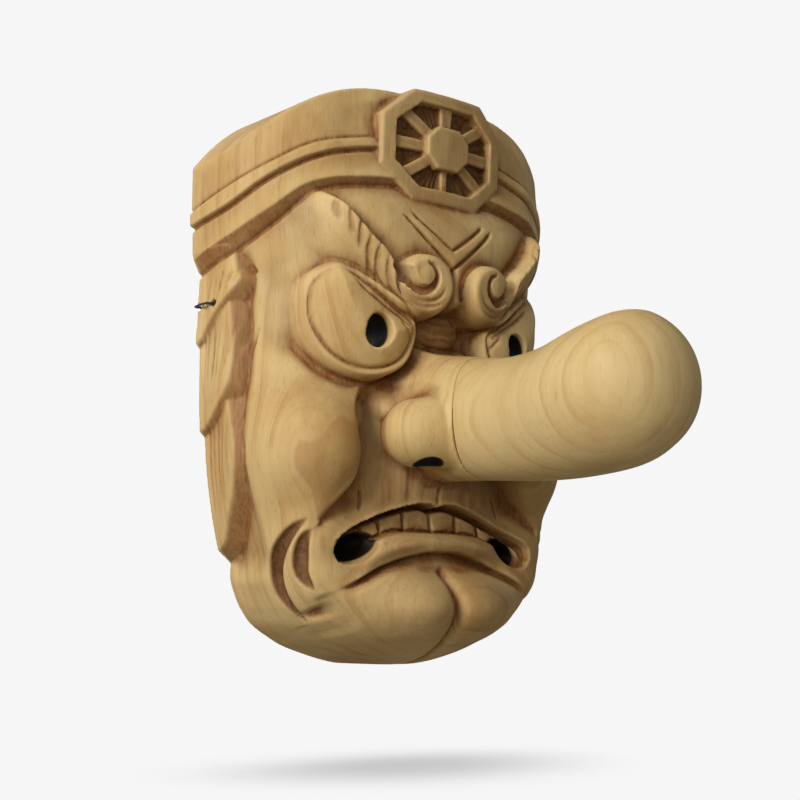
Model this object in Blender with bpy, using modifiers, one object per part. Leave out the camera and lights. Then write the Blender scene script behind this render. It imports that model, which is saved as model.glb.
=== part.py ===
"""Long-nosed carved noh mask: a hollow wooden shell, a plug-in nose and a hanging cord.

Row frame: +X is the viewer's right of the face, the face looks along -Y, +Z is up.
The back rim of the shell lies in the plane y = 0, and the origin is in the middle of the rim's width
under the chin. Shapes are first laid out with z = 0 at the underside of the chin, then lowered together.
Lengths are metres; MM turns the millimetre figures a carver would work to into metres.
"""

import math

import bmesh
import bpy
from mathutils import Matrix, Vector

MM = 0.001

# Driving dimensions of the shell
HEIGHT = 194.5 * MM
TEMPLE_HALF_WIDTH = 68 * MM
DEPTH = 54 * MM
SIDE_HEIGHT = 168 * MM
WALL = 9 * MM
FRONT_WALL = 10 * MM
PAST_RIM = 4 * MM
RIM_MIDDLE = 4.5 * MM

# Slices of the shell, in millimetres: height, half width, depth, and how square the slice is
# (2 is an ellipse). The jaw is boxier than the brow, and the mouth lies further back than the chin.
SLICES = (
    (0.5, 24, 36, 2.2),
    (4.5, 34, 45, 2.4),
    (9, 41, 49.5, 2.7),
    (18, 49.5, 52, 3.2),
    (26, 53.5, 49, 3.8),
    (36, 57, 44, 4.2),
    (50, 60.5, 42, 4.2),
    (64, 63, 44, 3.6),
    (80, 65, 47, 2.9),
    (100, 66.5, 50.5, 2.65),
    (125, 67.5, 54, 2.55),
    (150, 68, 53, 2.5),
    (172, 68, 49.5, 2.5),
    (200, 68, 46, 2.5),
)

# Face relief, in millimetres: centre, radii, and how far the wood swells out (or, if negative, is cut in).
# Each one is mirrored in x.
SWELLINGS = (
    ("cheek", (55, -42, 70), (17, 22, 18), 11),
    ("jowl", (50, -42, 38), (13, 18, 17), 5),
    ("eye_socket", (36, -46, 111), (23, 24, 24), -5),
    ("nose_hollow", (30, -46, 62), (11, 16, 16), -5),
    ("muzzle", (12, -46, 58), (17, 20, 12), 2.5),
    ("lower_lip", (12, -46, 39), (22, 18, 5), 3.5),
    ("lip_groove", (10, -48, 32), (26, 18, 4.5), -2.5),
    ("chin", (9, -48, 19), (16, 20, 11), 3),
    ("forehead", (26, -50, 152), (24, 20, 12), 1.5),
    ("temple", (54, -36, 132), (12, 18, 18), -3),
)
EYE = Vector((35, -40, 112)) * MM
EYE_RADII = Vector((17, 14, 17.5)) * MM
LID_RADIUS = 1.9 * MM
PUPIL_X, PUPIL_Z, PUPIL_RADIUS = 31.5 * MM, 108 * MM, 4.75 * MM
CURL = Vector((15, -54, 127)) * MM
CURL_BAND, CURL_TURN = 3.2 * MM, 7 * MM
MOUTH_DEPTH = 4 * MM
GROOVE_RADIUS = 1.1 * MM

# Nose: the root belongs to the shell, the rest plugs in. Slices of it, in millimetres: distance in
# front of the rim, half height, and height of the middle.
NOSE_SLICES = (
    (40, 22, 83),
    (62, 20.7, 81),
    (80, 19.9, 79),
    (100, 21, 79),
    (120, 23, 81.7),
    (138, 23.5, 84.4),
)
NOSE_FLATNESS = 0.87
NOSE_Z = 80 * MM
SEAM_Y = -69 * MM
NOSE_TIP_Y = -150 * MM
NOSE_ROUNDING = 24 * MM
TENON_SIDE = 20 * MM
TENON_LENGTH = 20 * MM
FIT_GAP = 0.35 * MM

# Headband and its octagonal ornament
BAND_BOTTOM, BAND_TOP = 130 * MM, 150 * MM
BAND_PROUD = 2.5 * MM
BAND_SLOPE = math.radians(25)
ORNAMENT = Vector((0, -45, 175.5)) * MM
ORNAMENT_WIDTH, ORNAMENT_HEIGHT, ORNAMENT_DEPTH = 55 * MM, 40 * MM, 12 * MM
ORNAMENT_RIM = 5 * MM
ORNAMENT_SINK = 3.5 * MM
ORNAMENT_RIB_WIDTH, ORNAMENT_RIB_PROUD = 4 * MM, 4 * MM
ORNAMENT_TILT = math.radians(1)

# Cord
CORD_RADIUS = 0.8 * MM
CORD_HOLE_RADIUS = 1.6 * MM
CORD_HOLE_Y, CORD_HOLE_Z = -10 * MM, 119 * MM
CORD_ARC_HEIGHT = 30 * MM
KNOT_X, KNOT_Y = 50.5 * MM, -3.4 * MM
KNOT_RADIUS = 2.2 * MM
NOTCH_DEPTH, NOTCH_WIDTH = 2.5 * MM, 2.6 * MM

WOOD = (0.62, 0.45, 0.24, 1.0)
NOSE_WOOD = (0.68, 0.53, 0.31, 1.0)
CORD_BLACK = (0.02, 0.018, 0.016, 1.0)


# ---------------------------------------------------------------- scene helpers

def clear_scene():
    for obj in list(bpy.data.objects):
        bpy.data.objects.remove(obj)


def new_collection(name):
    found = bpy.data.collections.new(name)
    bpy.context.scene.collection.children.link(found)
    return found


def material(name, colour, roughness):
    made = bpy.data.materials.new(name)
    made.use_nodes = True
    shader = made.node_tree.nodes["Principled BSDF"]
    shader.inputs["Base Color"].default_value = colour
    shader.inputs["Roughness"].default_value = roughness
    shader.inputs["Metallic"].default_value = 0.0
    return made


def object_from(name, bm, collection, surface=None):
    """A mesh object made from bm, with its normals facing out."""
    bmesh.ops.recalc_face_normals(bm, faces=bm.faces)
    mesh = bpy.data.meshes.new(name)
    bm.to_mesh(mesh)
    bm.free()
    obj = bpy.data.objects.new(name, mesh)
    collection.objects.link(obj)
    if surface:
        mesh.materials.append(surface)
        mesh.shade_smooth()
        mesh.set_sharp_from_angle(angle=math.radians(35))
    return obj


def helper(name, bm, collection):
    """A shape that only adds to, or cuts, the shell."""
    obj = object_from(name, bm, collection)
    obj.hide_render = True
    obj.display_type = "WIRE"
    return obj


def boolean(obj, collection, operation):
    cut = obj.modifiers.new(collection.name, "BOOLEAN")
    cut.operand_type = "COLLECTION"
    cut.collection = collection
    cut.operation = operation
    cut.solver = "EXACT"


# ---------------------------------------------------------------- shape helpers

def ellipsoid(centre, radii, segments=18, rings=12):
    bm = bmesh.new()
    place = Matrix.Translation(centre) @ Matrix.Diagonal((*radii, 1.0))
    bmesh.ops.create_uvsphere(bm, u_segments=segments, v_segments=rings, radius=1.0, matrix=place)
    return bm


def box(centre, size, turn=None):
    bm = bmesh.new()
    turn = turn or Matrix.Identity(4)
    place = Matrix.Translation(centre) @ turn @ Matrix.Diagonal((*size, 1.0))
    bmesh.ops.create_cube(bm, size=1.0, matrix=place)
    return bm


def rod(start, end, radius, segments=20, end_radius=None, flatten=1.0, roll=0.0):
    """A cylinder or cone from start to end; flatten squeezes it across, and roll turns it about itself."""
    start, end = Vector(start), Vector(end)
    along = end - start
    bm = bmesh.new()
    turn = along.to_track_quat("Z", "Y").to_matrix().to_4x4() @ Matrix.Rotation(roll, 4, "Z")
    place = Matrix.Translation((start + end) / 2) @ turn @ Matrix.Diagonal((1.0, flatten, 1.0, 1.0))
    bmesh.ops.create_cone(
        bm, cap_ends=True, segments=segments, radius1=radius,
        radius2=radius if end_radius is None else end_radius, depth=along.length, matrix=place,
    )
    return bm


def loft(rings):
    """A closed solid through rings of equal point count, capped at both ends."""
    bm = bmesh.new()
    made = [[bm.verts.new(p) for p in ring] for ring in rings]
    count = len(rings[0])
    for low, high in zip(made, made[1:]):
        for i in range(count):
            j = (i + 1) % count
            bm.faces.new((low[i], low[j], high[j], high[i]))
    bm.faces.new(made[0][::-1])
    bm.faces.new(made[-1])
    return bm


def tube(name, points, radius, collection, cyclic=False, radii=None):
    """A round tube along points, as a closed mesh."""
    curve = bpy.data.curves.new(name, "CURVE")
    curve.dimensions = "3D"
    curve.bevel_depth = radius
    curve.bevel_resolution = 2
    curve.use_fill_caps = True
    spline = curve.splines.new("POLY")
    spline.points.add(len(points) - 1)
    for i, point in enumerate(points):
        spline.points[i].co = (*point, 1.0)
        spline.points[i].radius = radii[i] if radii else 1.0
    spline.use_cyclic_u = cyclic
    guide = bpy.data.objects.new(name + "_path", curve)
    collection.objects.link(guide)
    graph = bpy.context.evaluated_depsgraph_get()
    mesh = bpy.data.meshes.new_from_object(guide.evaluated_get(graph))
    bm = bmesh.new()
    bm.from_mesh(mesh)
    bmesh.ops.remove_doubles(bm, verts=bm.verts, dist=0.01 * MM)
    bpy.data.objects.remove(guide)
    bpy.data.meshes.remove(mesh)
    return bm


def mirrored(vector, side):
    return Vector((side * vector[0], vector[1], vector[2]))


# ---------------------------------------------------------------- shell

def rounding(gap, reach, power):
    """How full a slice is: whole until the gap opens, and nothing once the gap reaches its limit."""
    share = min(max(gap / reach, 0.0), 1.0)
    return max(1.0 - share**power, 0.0) ** (1 / power)


def smooth_step(value):
    value = min(max(value, 0.0), 1.0)
    return value * value * (3 - 2 * value)


def along_curve(table, at):
    """The row of table at the place named by its first column, on a smooth curve through the rows."""
    at = min(max(at, table[0][0]), table[-1][0])
    low = max(i for i in range(len(table) - 1) if table[i][0] <= at)
    before, start, end, after = (table[min(max(low + i, 0), len(table) - 1)] for i in (-1, 0, 1, 2))
    span = end[0] - start[0]
    t = (at - start[0]) / span
    row = []
    for k in range(1, len(start)):
        leave = (end[k] - before[k]) / (end[0] - before[0]) * span
        arrive = (after[k] - start[k]) / (after[0] - start[0]) * span
        row.append(
            (2 * t**3 - 3 * t**2 + 1) * start[k] + (t**3 - 2 * t**2 + t) * leave
            + (3 * t**2 - 2 * t**3) * end[k] + (t**3 - t**2) * arrive
        )
    return row


def slice_at(z):
    """Half width, depth and squareness of the shell at height z."""
    wide, deep, power = along_curve(SLICES, z / MM)
    return wide * MM, deep * MM, power


def relief(point):
    """How far the face swells out at a point of the plain shell."""
    total = 0.0
    for _, centre, radii, swell in SWELLINGS:
        for side in (-1, 1):
            away = point - mirrored(Vector(centre) * MM, side)
            share = sum((away[i] / (radii[i] * MM)) ** 2 for i in range(3))
            total += swell * MM * math.exp(-share)
    fade = min(max(-point.y / (20 * MM), 0.0), 1.0)
    return total * fade * fade


def section(z, inset_x, inset_y, steps, carved=False):
    """A horizontal slice: half a superellipse whose open side runs past the rim plane."""
    wide, deep, power = slice_at(z)
    wide, deep = max(wide - inset_x, 2 * MM), max(deep - inset_y, 2 * MM)
    ring = []
    for i in range(steps + 1):
        angle = math.pi * i / steps - math.pi / 2
        across, ahead = math.sin(angle), max(math.cos(angle), 0.0)
        x = wide * math.copysign(abs(across) ** (2 / power), across)
        point = Vector((x, -deep * ahead ** (2 / power), z))
        if carved:
            outward = Vector((across / wide, -ahead / deep, 0)).normalized()
            point += outward * relief(point)
        ring.append(point)
    return ring + [Vector((wide, PAST_RIM, z)), Vector((-wide, PAST_RIM, z))]


def on_face(x, z, lift=0.0):
    """The point of the carved face seen at x, z from in front, lifted off it by lift."""
    wide, deep, power = slice_at(z)
    point = Vector((x, -deep * max(1 - abs(x / wide) ** power, 0.0) ** (1 / power), z))
    outward = Vector((
        math.copysign(abs(x / wide) ** (power - 1) / wide, x),
        -abs(point.y / deep) ** (power - 1) / deep, 0,
    )).normalized()
    return point + outward * (relief(point) + lift)


def crown_height(x, drop):
    """Height of the arched top of the mask at x."""
    share = min(abs(x) / (TEMPLE_HALF_WIDTH - 0.4 * drop), 1.0)
    return SIDE_HEIGHT - drop + (HEIGHT - SIDE_HEIGHT) * (1 - share**2.5) ** 0.45


def above_crown(drop, steps=24):
    """Everything above the arch, as a cutter."""
    reach = TEMPLE_HALF_WIDTH + 20 * MM
    inner = TEMPLE_HALF_WIDTH - 0.4 * drop
    xs = [-reach] + [-inner * math.cos(math.pi * i / steps) for i in range(steps + 1)] + [reach]
    low = [(x, crown_height(x, drop)) for x in xs]
    outline = low + [(reach, 2 * HEIGHT), (-reach, 2 * HEIGHT)]
    return loft([[(x, y, z) for x, z in outline] for y in (-2 * DEPTH, 2 * PAST_RIM)])


def outer_body(surface, collection):
    low = [0.5, 2, 4.5, 7.5]
    heights = low + [11 + 4.6 * i for i in range(31)] + [160, 172, 186, 199]
    bm = loft([section(h * MM, 0, 0, 44, carved=True) for h in heights])
    return object_from("mask_shell", bm, collection, surface)


def cavity_body():
    heights = [9, 12, 16, 22, 30, 40, 55, 75, 100, 125, 150, 176, 206]
    return loft([section(h * MM, WALL, FRONT_WALL, 20) for h in heights])


def cavity(cutters):
    """The hollow behind the face, arched at the top like the outside."""
    hollow = helper("cavity", cavity_body(), cutters)
    trim = new_collection("cavity_trim")
    helper("cavity_crown", above_crown(WALL), trim)
    boolean(hollow, trim, "DIFFERENCE")


def headband(additions):
    """A sloping band that stands proud of the forehead and temples."""
    heights = [110, 130, 150, 170, 185]
    sleeve = loft([section(h * MM, -BAND_PROUD, -BAND_PROUD, 32) for h in heights])
    band = helper("headband", sleeve, additions)
    keep = new_collection("headband_slab")
    turn = Matrix.Rotation(-BAND_SLOPE, 4, "X")
    tall = (BAND_TOP - BAND_BOTTOM) * math.cos(BAND_SLOPE)
    centre = Vector((0, 0, (BAND_TOP + BAND_BOTTOM) / 2))
    helper("headband_limits", box(centre, (200 * MM, 200 * MM, tall), turn), keep)
    boolean(band, keep, "INTERSECT")


def octagon(width, height, depth, centre, turn):
    bm = bmesh.new()
    upright = Matrix.Rotation(math.radians(90), 4, "X")
    across = 1 / math.cos(math.pi / 8)
    spread = Matrix.Diagonal((width / 2 * across, depth, height / 2 * across, 1.0))
    eighth = Matrix.Rotation(math.pi / 8, 4, "Z")
    place = Matrix.Translation(centre) @ turn @ spread @ upright @ eighth
    bmesh.ops.create_cone(bm, cap_ends=True, segments=8, radius1=1.0, radius2=1.0, depth=1.0, matrix=place)
    return bm


def ornament(additions):
    """The octagonal forehead ornament: a raised rim, a sunk floor, a hub and eight ribs."""
    turn = Matrix.Rotation(-ORNAMENT_TILT, 4, "X")
    outer = octagon(ORNAMENT_WIDTH, ORNAMENT_HEIGHT, ORNAMENT_DEPTH, ORNAMENT, turn)
    plate = helper("ornament_plate", outer, additions)
    sink = new_collection("ornament_sink")
    front = ORNAMENT + turn @ Vector((0, -ORNAMENT_DEPTH / 2, 0))
    inner_width, inner_height = ORNAMENT_WIDTH - 2 * ORNAMENT_RIM, ORNAMENT_HEIGHT - 2 * ORNAMENT_RIM
    helper("ornament_recess", octagon(inner_width, inner_height, 2 * ORNAMENT_SINK, front, turn), sink)
    boolean(plate, sink, "DIFFERENCE")
    hub_place = ORNAMENT + turn @ Vector((0, -1.75 * MM, 0))
    helper("ornament_hub", octagon(16 * MM, 12 * MM, 7.5 * MM, hub_place, turn), additions)
    for i in range(8):
        angle = math.tau * i / 8
        reach = Vector((math.cos(angle) * ORNAMENT_WIDTH, 0, math.sin(angle) * ORNAMENT_HEIGHT)) * 0.43
        centre = ORNAMENT + turn @ (Vector((0, -1 * MM, 0)) + reach / 2)
        along = Matrix.Rotation(-math.atan2(reach.z, reach.x), 4, "Y")
        size = (reach.length, ORNAMENT_RIB_PROUD * 2, ORNAMENT_RIB_WIDTH)
        helper(f"ornament_rib_{i}", box(centre, size, turn @ along), additions)


def brow_path(side):
    """From the temple down to the curl beside the bridge of the nose."""
    points = [(52, 146, 0), (45, 149, 1), (38, 141, 2), (31, 131, 3), (24, 122, 4), (17, 117.5, 5)]
    return [on_face(side * x * MM, z * MM, lift * MM) for x, z, lift in points]


def curl_path(side):
    """The scroll at the inner end of a brow, winding up and outwards round its own middle."""
    points = []
    for i in range(15):
        share = i / 14
        angle = math.radians(200 + 420 * share)
        reach = CURL_TURN * (1 - 0.75 * share)
        offset = Vector((-math.cos(angle) * reach, -4 * MM * share, math.sin(angle) * reach))
        points.append(mirrored(CURL, side) + Vector((side * -offset.x, offset.y, offset.z)))
    return points


def brow(side, additions):
    name = f"brow_{'left' if side < 0 else 'right'}"
    radii = [3 * MM, 5.5 * MM, 6 * MM, 6 * MM, 5.5 * MM, 4.5 * MM]
    helper(name, tube(name, brow_path(side), 1.0, additions, radii=radii), additions)
    scroll = [CURL_BAND * (1.1 - 0.35 * i / 14) for i in range(15)]
    helper(name + "_curl", tube(name + "_curl", curl_path(side), 1.0, additions, radii=scroll), additions)
    base = ellipsoid(mirrored(CURL, side) + Vector((0, 3, 0)) * MM, Vector((9, 8, 9)) * MM, 16, 10)
    helper(name + "_curl_base", base, additions)


def hair_locks(side, additions):
    """Three overlapping locks behind the cheek, each stepping in from the one above."""
    locks = [
        (68.5, [(PAST_RIM / MM, 138), (-26, 138), (-25, 128), (-5, 103), (PAST_RIM / MM, 103)]),
        (66.5, [(PAST_RIM / MM, 128), (-22, 128), (-22, 89), (-8, 77), (PAST_RIM / MM, 77)]),
        (62.5, [(PAST_RIM / MM, 95), (-22, 95), (-24, 66), (-9, 37), (PAST_RIM / MM, 37)]),
    ]
    for number, (proud, outline) in enumerate(locks, 1):
        rings = [
            [Vector((side * x, y, z)) * MM for y, z in outline]
            for x in (proud - 14, proud)
        ]
        helper(f"lock_{number}_{'left' if side < 0 else 'right'}", loft(rings), additions)


def lid(side, additions):
    """The rim of wood round the eyeball, pinched towards the nose."""
    name = f"eyelid_{'left' if side < 0 else 'right'}"
    points = []
    for i in range(24):
        angle = math.tau * i / 24
        x = EYE.x + 17.5 * MM * math.cos(angle)
        z = EYE.z + 18 * MM * math.sin(angle)
        points.append(on_face(side * x, z, 1.5 * MM))
    helper(name, tube(name, points, LID_RADIUS, additions, cyclic=True), additions)


def mouth(cutters):
    """A down-turned mouth cut to an even depth, with six teeth standing in it."""
    upper = [(0, 52), (15, 51), (29, 47), (40, 41)]
    lower = [(42, 36), (36, 33), (28, 37), (12, 42)]
    outline = [(-x, z) for x, z in upper[:0:-1]] + upper + lower + [(-x, z) for x, z in lower[::-1]]
    slot = loft([[Vector((x, y, z)) * MM for x, z in outline] for y in (-90, -30)])
    cut = helper("mouth_slot", slot, cutters)
    kept = new_collection("mouth_floor")
    heights = [20, 30, 36, 40, 44, 48, 52, 56, 66]
    body = loft([section(h * MM, MOUTH_DEPTH, MOUTH_DEPTH, 44, carved=True) for h in heights])
    helper("mouth_floor_body", body, kept)
    for number, x in enumerate((-24.5, -15, -5, 5, 15, 24.5), 1):
        z = 48 - 0.006 * x * x
        place = on_face(x * MM, z * MM, -MOUTH_DEPTH + 1 * MM)
        turn = Matrix.Rotation(math.atan2(x, 60) * 0.9, 4, "Z")
        helper(f"tooth_{number}", box(place, Vector((8.6, 4, 9.5)) * MM, turn), kept)
    boolean(cut, kept, "DIFFERENCE")


def grooves(cutters):
    """V-shaped furrows over the nose, the cleft of the chin and the folds beside nose and mouth."""
    lines = {
        "furrow_low": [(-21, 148), (-10, 140), (0, 133), (10, 140), (21, 148)],
        "furrow_high": [(-16, 153), (-8, 145), (0, 139), (8, 145), (16, 153)],
        "chin_cleft": [(0, 33), (0, 27), (0, 20), (0, 12), (0, 6)],
    }
    for side, tag in ((-1, "left"), (1, "right")):
        fold = [(20, 91), (29, 88), (33, 78), (33, 66), (36, 56), (43, 49), (49, 45)]
        corner = [(50, 48), (54, 41), (53, 33), (48, 25), (41, 18)]
        lines["nose_fold_" + tag] = [(side * x, z) for x, z in fold]
        lines["mouth_fold_" + tag] = [(side * x, z) for x, z in corner]
    for name, line in lines.items():
        points = [on_face(x * MM, z * MM) for x, z in line]
        radii = [0.4] + [1.0] * (len(points) - 2) + [0.4]
        helper(name, tube(name, points, GROOVE_RADIUS, cutters, radii=radii), cutters)


def face_features(additions):
    for side in (-1, 1):
        tag = "left" if side < 0 else "right"
        helper(f"eyeball_{tag}", ellipsoid(mirrored(EYE, side), EYE_RADII, 24, 14), additions)
        lid(side, additions)
        wing = mirrored(Vector((19.5, -58, 75)) * MM, side)
        helper(f"nose_wing_{tag}", ellipsoid(wing, Vector((11.5, 11, 11)) * MM), additions)
        brow(side, additions)
        hair_locks(side, additions)
    root = [nose_ring(-DEPTH / 2), nose_ring(-0.8 * DEPTH), nose_ring(-DEPTH), nose_ring(SEAM_Y)]
    helper("nose_root", loft(root), additions)
    bridge = rod((0, -46 * MM, 119 * MM), (0, -53 * MM, 92 * MM), 9 * MM, 16, 17 * MM)
    helper("nose_bridge", bridge, additions)


def openings(cutters):
    """Eye, mouth and cord holes, nostrils, the socket for the nose, and the flat back."""
    for side in (-1, 1):
        tag = "left" if side < 0 else "right"
        x = side * PUPIL_X
        eye = rod((x, -80 * MM, PUPIL_Z), (x, -20 * MM, PUPIL_Z), PUPIL_RADIUS, 20)
        helper(f"eye_hole_{tag}", eye, cutters)
        corner = rod(
            (side * 31 * MM, -80 * MM, 38 * MM), (side * 31 * MM, -20 * MM, 38 * MM),
            6.5 * MM, 20, flatten=0.6, roll=side * math.radians(30),
        )
        helper(f"mouth_corner_{tag}", corner, cutters)
        nostril_end = (side * 18 * MM, -57 * MM, 72 * MM)
        nostril = rod((side * 14 * MM, -62 * MM, 54 * MM), nostril_end, 3.2 * MM, 14)
        helper(f"nostril_{tag}", nostril, cutters)
        wall_x = side * TEMPLE_HALF_WIDTH
        cord = rod(
            (wall_x + side * 8 * MM, CORD_HOLE_Y, CORD_HOLE_Z),
            (wall_x - side * 24 * MM, CORD_HOLE_Y, CORD_HOLE_Z), CORD_HOLE_RADIUS, 12,
        )
        helper(f"cord_hole_{tag}", cord, cutters)
        notch = box(
            (side * 61 * MM, PAST_RIM - (NOTCH_DEPTH + PAST_RIM) / 2, CORD_HOLE_Z),
            (30 * MM, NOTCH_DEPTH + PAST_RIM, NOTCH_WIDTH),
        )
        helper(f"cord_notch_{tag}", notch, cutters)
    socket_side = TENON_SIDE + 2 * FIT_GAP
    deep = TENON_LENGTH + 1 * MM
    socket = box((0, SEAM_Y + deep / 2 - 5 * MM, NOSE_Z), (socket_side, deep + 10 * MM, socket_side))
    helper("nose_socket", socket, cutters)
    helper("back_trim", box((0, 50 * MM, HEIGHT / 2), (0.3, 100 * MM, 0.4)), cutters)
    helper("crown", above_crown(0), cutters)


def mask_shell(surface, parts):
    additions, cutters = new_collection("mask_additions"), new_collection("mask_cutters")
    shell = outer_body(surface, parts)
    headband(additions)
    ornament(additions)
    face_features(additions)
    cavity(cutters)
    openings(cutters)
    grooves(cutters)
    mouth(cutters)
    boolean(shell, additions, "UNION")
    boolean(shell, cutters, "DIFFERENCE")
    return shell


# ---------------------------------------------------------------- nose

def nose_ring(y, steps=32):
    """A slice across the nose: a slim upright neck, a swollen round end that lifts, and a rounded tip."""
    half_height, middle = along_curve(NOSE_SLICES, -y / MM)
    end = rounding(NOSE_TIP_Y + NOSE_ROUNDING - y, NOSE_ROUNDING, 2.3)
    flatness = NOSE_FLATNESS + (1 - NOSE_FLATNESS) * smooth_step((SEAM_Y - y) / (50 * MM))
    high = half_height * end * MM
    angles = [math.tau * i / steps for i in range(steps)]
    return [(high * flatness * math.cos(a), y, middle * MM + high * math.sin(a)) for a in angles]


def nose(surface, parts):
    """The club-shaped nose with a square tenon behind it."""
    start = SEAM_Y - FIT_GAP
    shares = [0, 0.1, 0.2, 0.3, 0.4, 0.5, 0.6, 0.69, 0.76, 0.82, 0.87, 0.915, 0.95, 0.975, 0.99, 0.998]
    rings = [nose_ring(start + (NOSE_TIP_Y - start) * share) for share in shares]
    club = object_from("nose", loft(rings), parts, surface)
    joinery = new_collection("nose_tenon")
    overlap = 6 * MM
    centre = (0, SEAM_Y + (TENON_LENGTH - overlap) / 2, NOSE_Z)
    tenon = helper("tenon", box(centre, (TENON_SIDE, TENON_LENGTH + overlap, TENON_SIDE)), joinery)
    edge = tenon.modifiers.new("eased_edges", "BEVEL")
    edge.width = 1 * MM
    edge.segments = 1
    boolean(club, joinery, "UNION")
    return club


# ---------------------------------------------------------------- cord

def loop_points(side):
    """Out through the cord hole, back along the wall, in through the notch in the rim, and to the knot."""
    clear = CORD_RADIUS + 0.4 * MM
    outside = TEMPLE_HALF_WIDTH + 0.5 * MM + clear
    inside = TEMPLE_HALF_WIDTH - WALL - 5.2 * MM
    notch_y = -(CORD_RADIUS + 0.45 * MM)
    corners = [
        (inside, CORD_HOLE_Y), (outside - 3.2 * MM, CORD_HOLE_Y), (outside, CORD_HOLE_Y + 1.5 * MM),
        (outside, notch_y - 1.2 * MM), (outside - 1.3 * MM, notch_y), (KNOT_X + 3 * MM, notch_y),
        (KNOT_X, KNOT_Y),
    ]
    return [Vector((side * x, y, CORD_HOLE_Z)) for x, y in corners]


def cord_loop(side, surface, parts):
    name = f"cord_loop_{'left' if side < 0 else 'right'}"
    ring = object_from(name, tube(name, loop_points(side), CORD_RADIUS, parts, cyclic=True), parts, surface)
    knots = new_collection(name + "_knot")
    knot = ellipsoid((side * KNOT_X, KNOT_Y, CORD_HOLE_Z), (KNOT_RADIUS,) * 3, 12, 8)
    helper(name + "_knot_ball", knot, knots)
    boolean(ring, knots, "UNION")
    return ring


def hanging_cord(surface, parts):
    """The span between the two knots, drawn up in an arch as it is on a wall nail."""
    steps = 24
    reach = KNOT_X - KNOT_RADIUS - CORD_RADIUS
    points = []
    for i in range(steps + 1):
        share = 2 * i / steps - 1
        lift = CORD_ARC_HEIGHT * (1 - abs(share) ** 1.6)
        points.append((reach * share, KNOT_Y, CORD_HOLE_Z + lift))
    return object_from("hanging_cord", tube("hanging_cord", points, CORD_RADIUS, parts), parts, surface)


def put_origin(obj, point):
    """Move an object's origin without moving its surface."""
    obj.data.transform(Matrix.Translation(-Vector(point)))
    obj.location = point


def lower_everything():
    """Bring the middle of the rim under the chin to z = 0."""
    for obj in bpy.data.objects:
        obj.location.z -= RIM_MIDDLE


def build():
    clear_scene()
    parts = new_collection("noh_mask")
    mask_shell(material("carved_wood", WOOD, 0.6), parts)
    club = nose(material("nose_wood", NOSE_WOOD, 0.5), parts)
    put_origin(club, (0, SEAM_Y, NOSE_Z))
    cord = material("black_cord", CORD_BLACK, 0.8)
    for side in (-1, 1):
        cord_loop(side, cord, parts)
    put_origin(hanging_cord(cord, parts), (0, KNOT_Y, CORD_HOLE_Z))
    lower_everything()


build()
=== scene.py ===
"""Looks of a carved long-nosed noh mask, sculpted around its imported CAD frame.

The shell is sculpted as a volume: a field that is negative in the wood and positive outside it, in carver's
millimetres, which openvdb then turns into a mesh. Only the half at x >= 0 is computed, and the other half is
its mirror image. In the carver's frame x = 0 is the middle of the face, y = 0 the flat back, the face looks
along -y, and z = 0 is the underside of the chin.
"""

import math

import bmesh
import bpy
import numpy as np
import openvdb
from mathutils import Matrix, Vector


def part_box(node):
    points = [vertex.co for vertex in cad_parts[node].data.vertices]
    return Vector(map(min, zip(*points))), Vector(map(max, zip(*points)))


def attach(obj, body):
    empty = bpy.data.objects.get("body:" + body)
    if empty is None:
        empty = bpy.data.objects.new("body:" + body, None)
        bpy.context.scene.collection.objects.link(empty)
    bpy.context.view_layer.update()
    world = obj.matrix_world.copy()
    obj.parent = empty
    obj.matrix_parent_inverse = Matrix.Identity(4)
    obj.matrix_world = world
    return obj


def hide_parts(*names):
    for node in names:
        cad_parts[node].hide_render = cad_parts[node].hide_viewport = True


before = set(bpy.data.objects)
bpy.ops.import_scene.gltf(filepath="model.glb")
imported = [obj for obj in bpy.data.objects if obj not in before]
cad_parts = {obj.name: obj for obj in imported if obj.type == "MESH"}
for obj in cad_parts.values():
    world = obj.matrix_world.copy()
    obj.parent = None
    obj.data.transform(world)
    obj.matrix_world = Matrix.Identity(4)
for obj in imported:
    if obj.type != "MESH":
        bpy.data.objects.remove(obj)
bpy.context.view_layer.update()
SHELL_LOW, SHELL_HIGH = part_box("mask_shell")
CORD_LOW, CORD_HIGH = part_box("hanging_cord")

# One carver's millimetre in metres, and the carver's origin in the row frame
CARVED_HEIGHT = 194.0
CHIN_UNDERSIDE = 0.5
UNIT = (SHELL_HIGH.z - SHELL_LOW.z) / CARVED_HEIGHT
ORIGIN = Vector(((SHELL_LOW.x + SHELL_HIGH.x) / 2, SHELL_HIGH.y, SHELL_LOW.z - CHIN_UNDERSIDE * UNIT))

VOXEL = 0.5

# Slices of the shell: height, half width, depth, and how square the slice is (2 is an ellipse)
SLICES = (
    (-1.5, 8, 28, 2.0), (0.5, 15, 34, 2.1), (3, 23, 39.5, 2.2), (6, 32, 44, 2.3), (9, 38, 47, 2.6),
    (13, 44.5, 49.5, 2.9), (18, 49, 51, 3.2), (26, 53, 49, 3.8), (36, 56, 44, 4.2),
    (50, 60, 42, 4.2), (64, 63, 44, 3.6), (80, 65, 47, 2.9), (100, 66.5, 50.5, 2.65),
    (125, 67.5, 54, 2.6), (138, 67.8, 53.5, 2.65),
    (149, 68, 51, 2.7), (161, 68, 46.5, 2.8), (173, 68, 43.5, 2.9), (200, 68, 40.5, 2.9),
)
# Slices of the nose: distance in front of the rim, half height, and height of the middle
NOSE_SLICES = (
    (40, 22, 83), (62, 20.7, 81), (80, 19.9, 79), (100, 21, 79), (120, 23, 81.7), (138, 23.5, 84.4),
)
NOSE_FLATNESS = 0.87
# The joint between the nose and its root: where it crosses the middle, how far it bows forward, and its gap
SEAM_Y, SEAM_BOW, SEAM_GAP = -67.0, 5.0, 0.35
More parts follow.
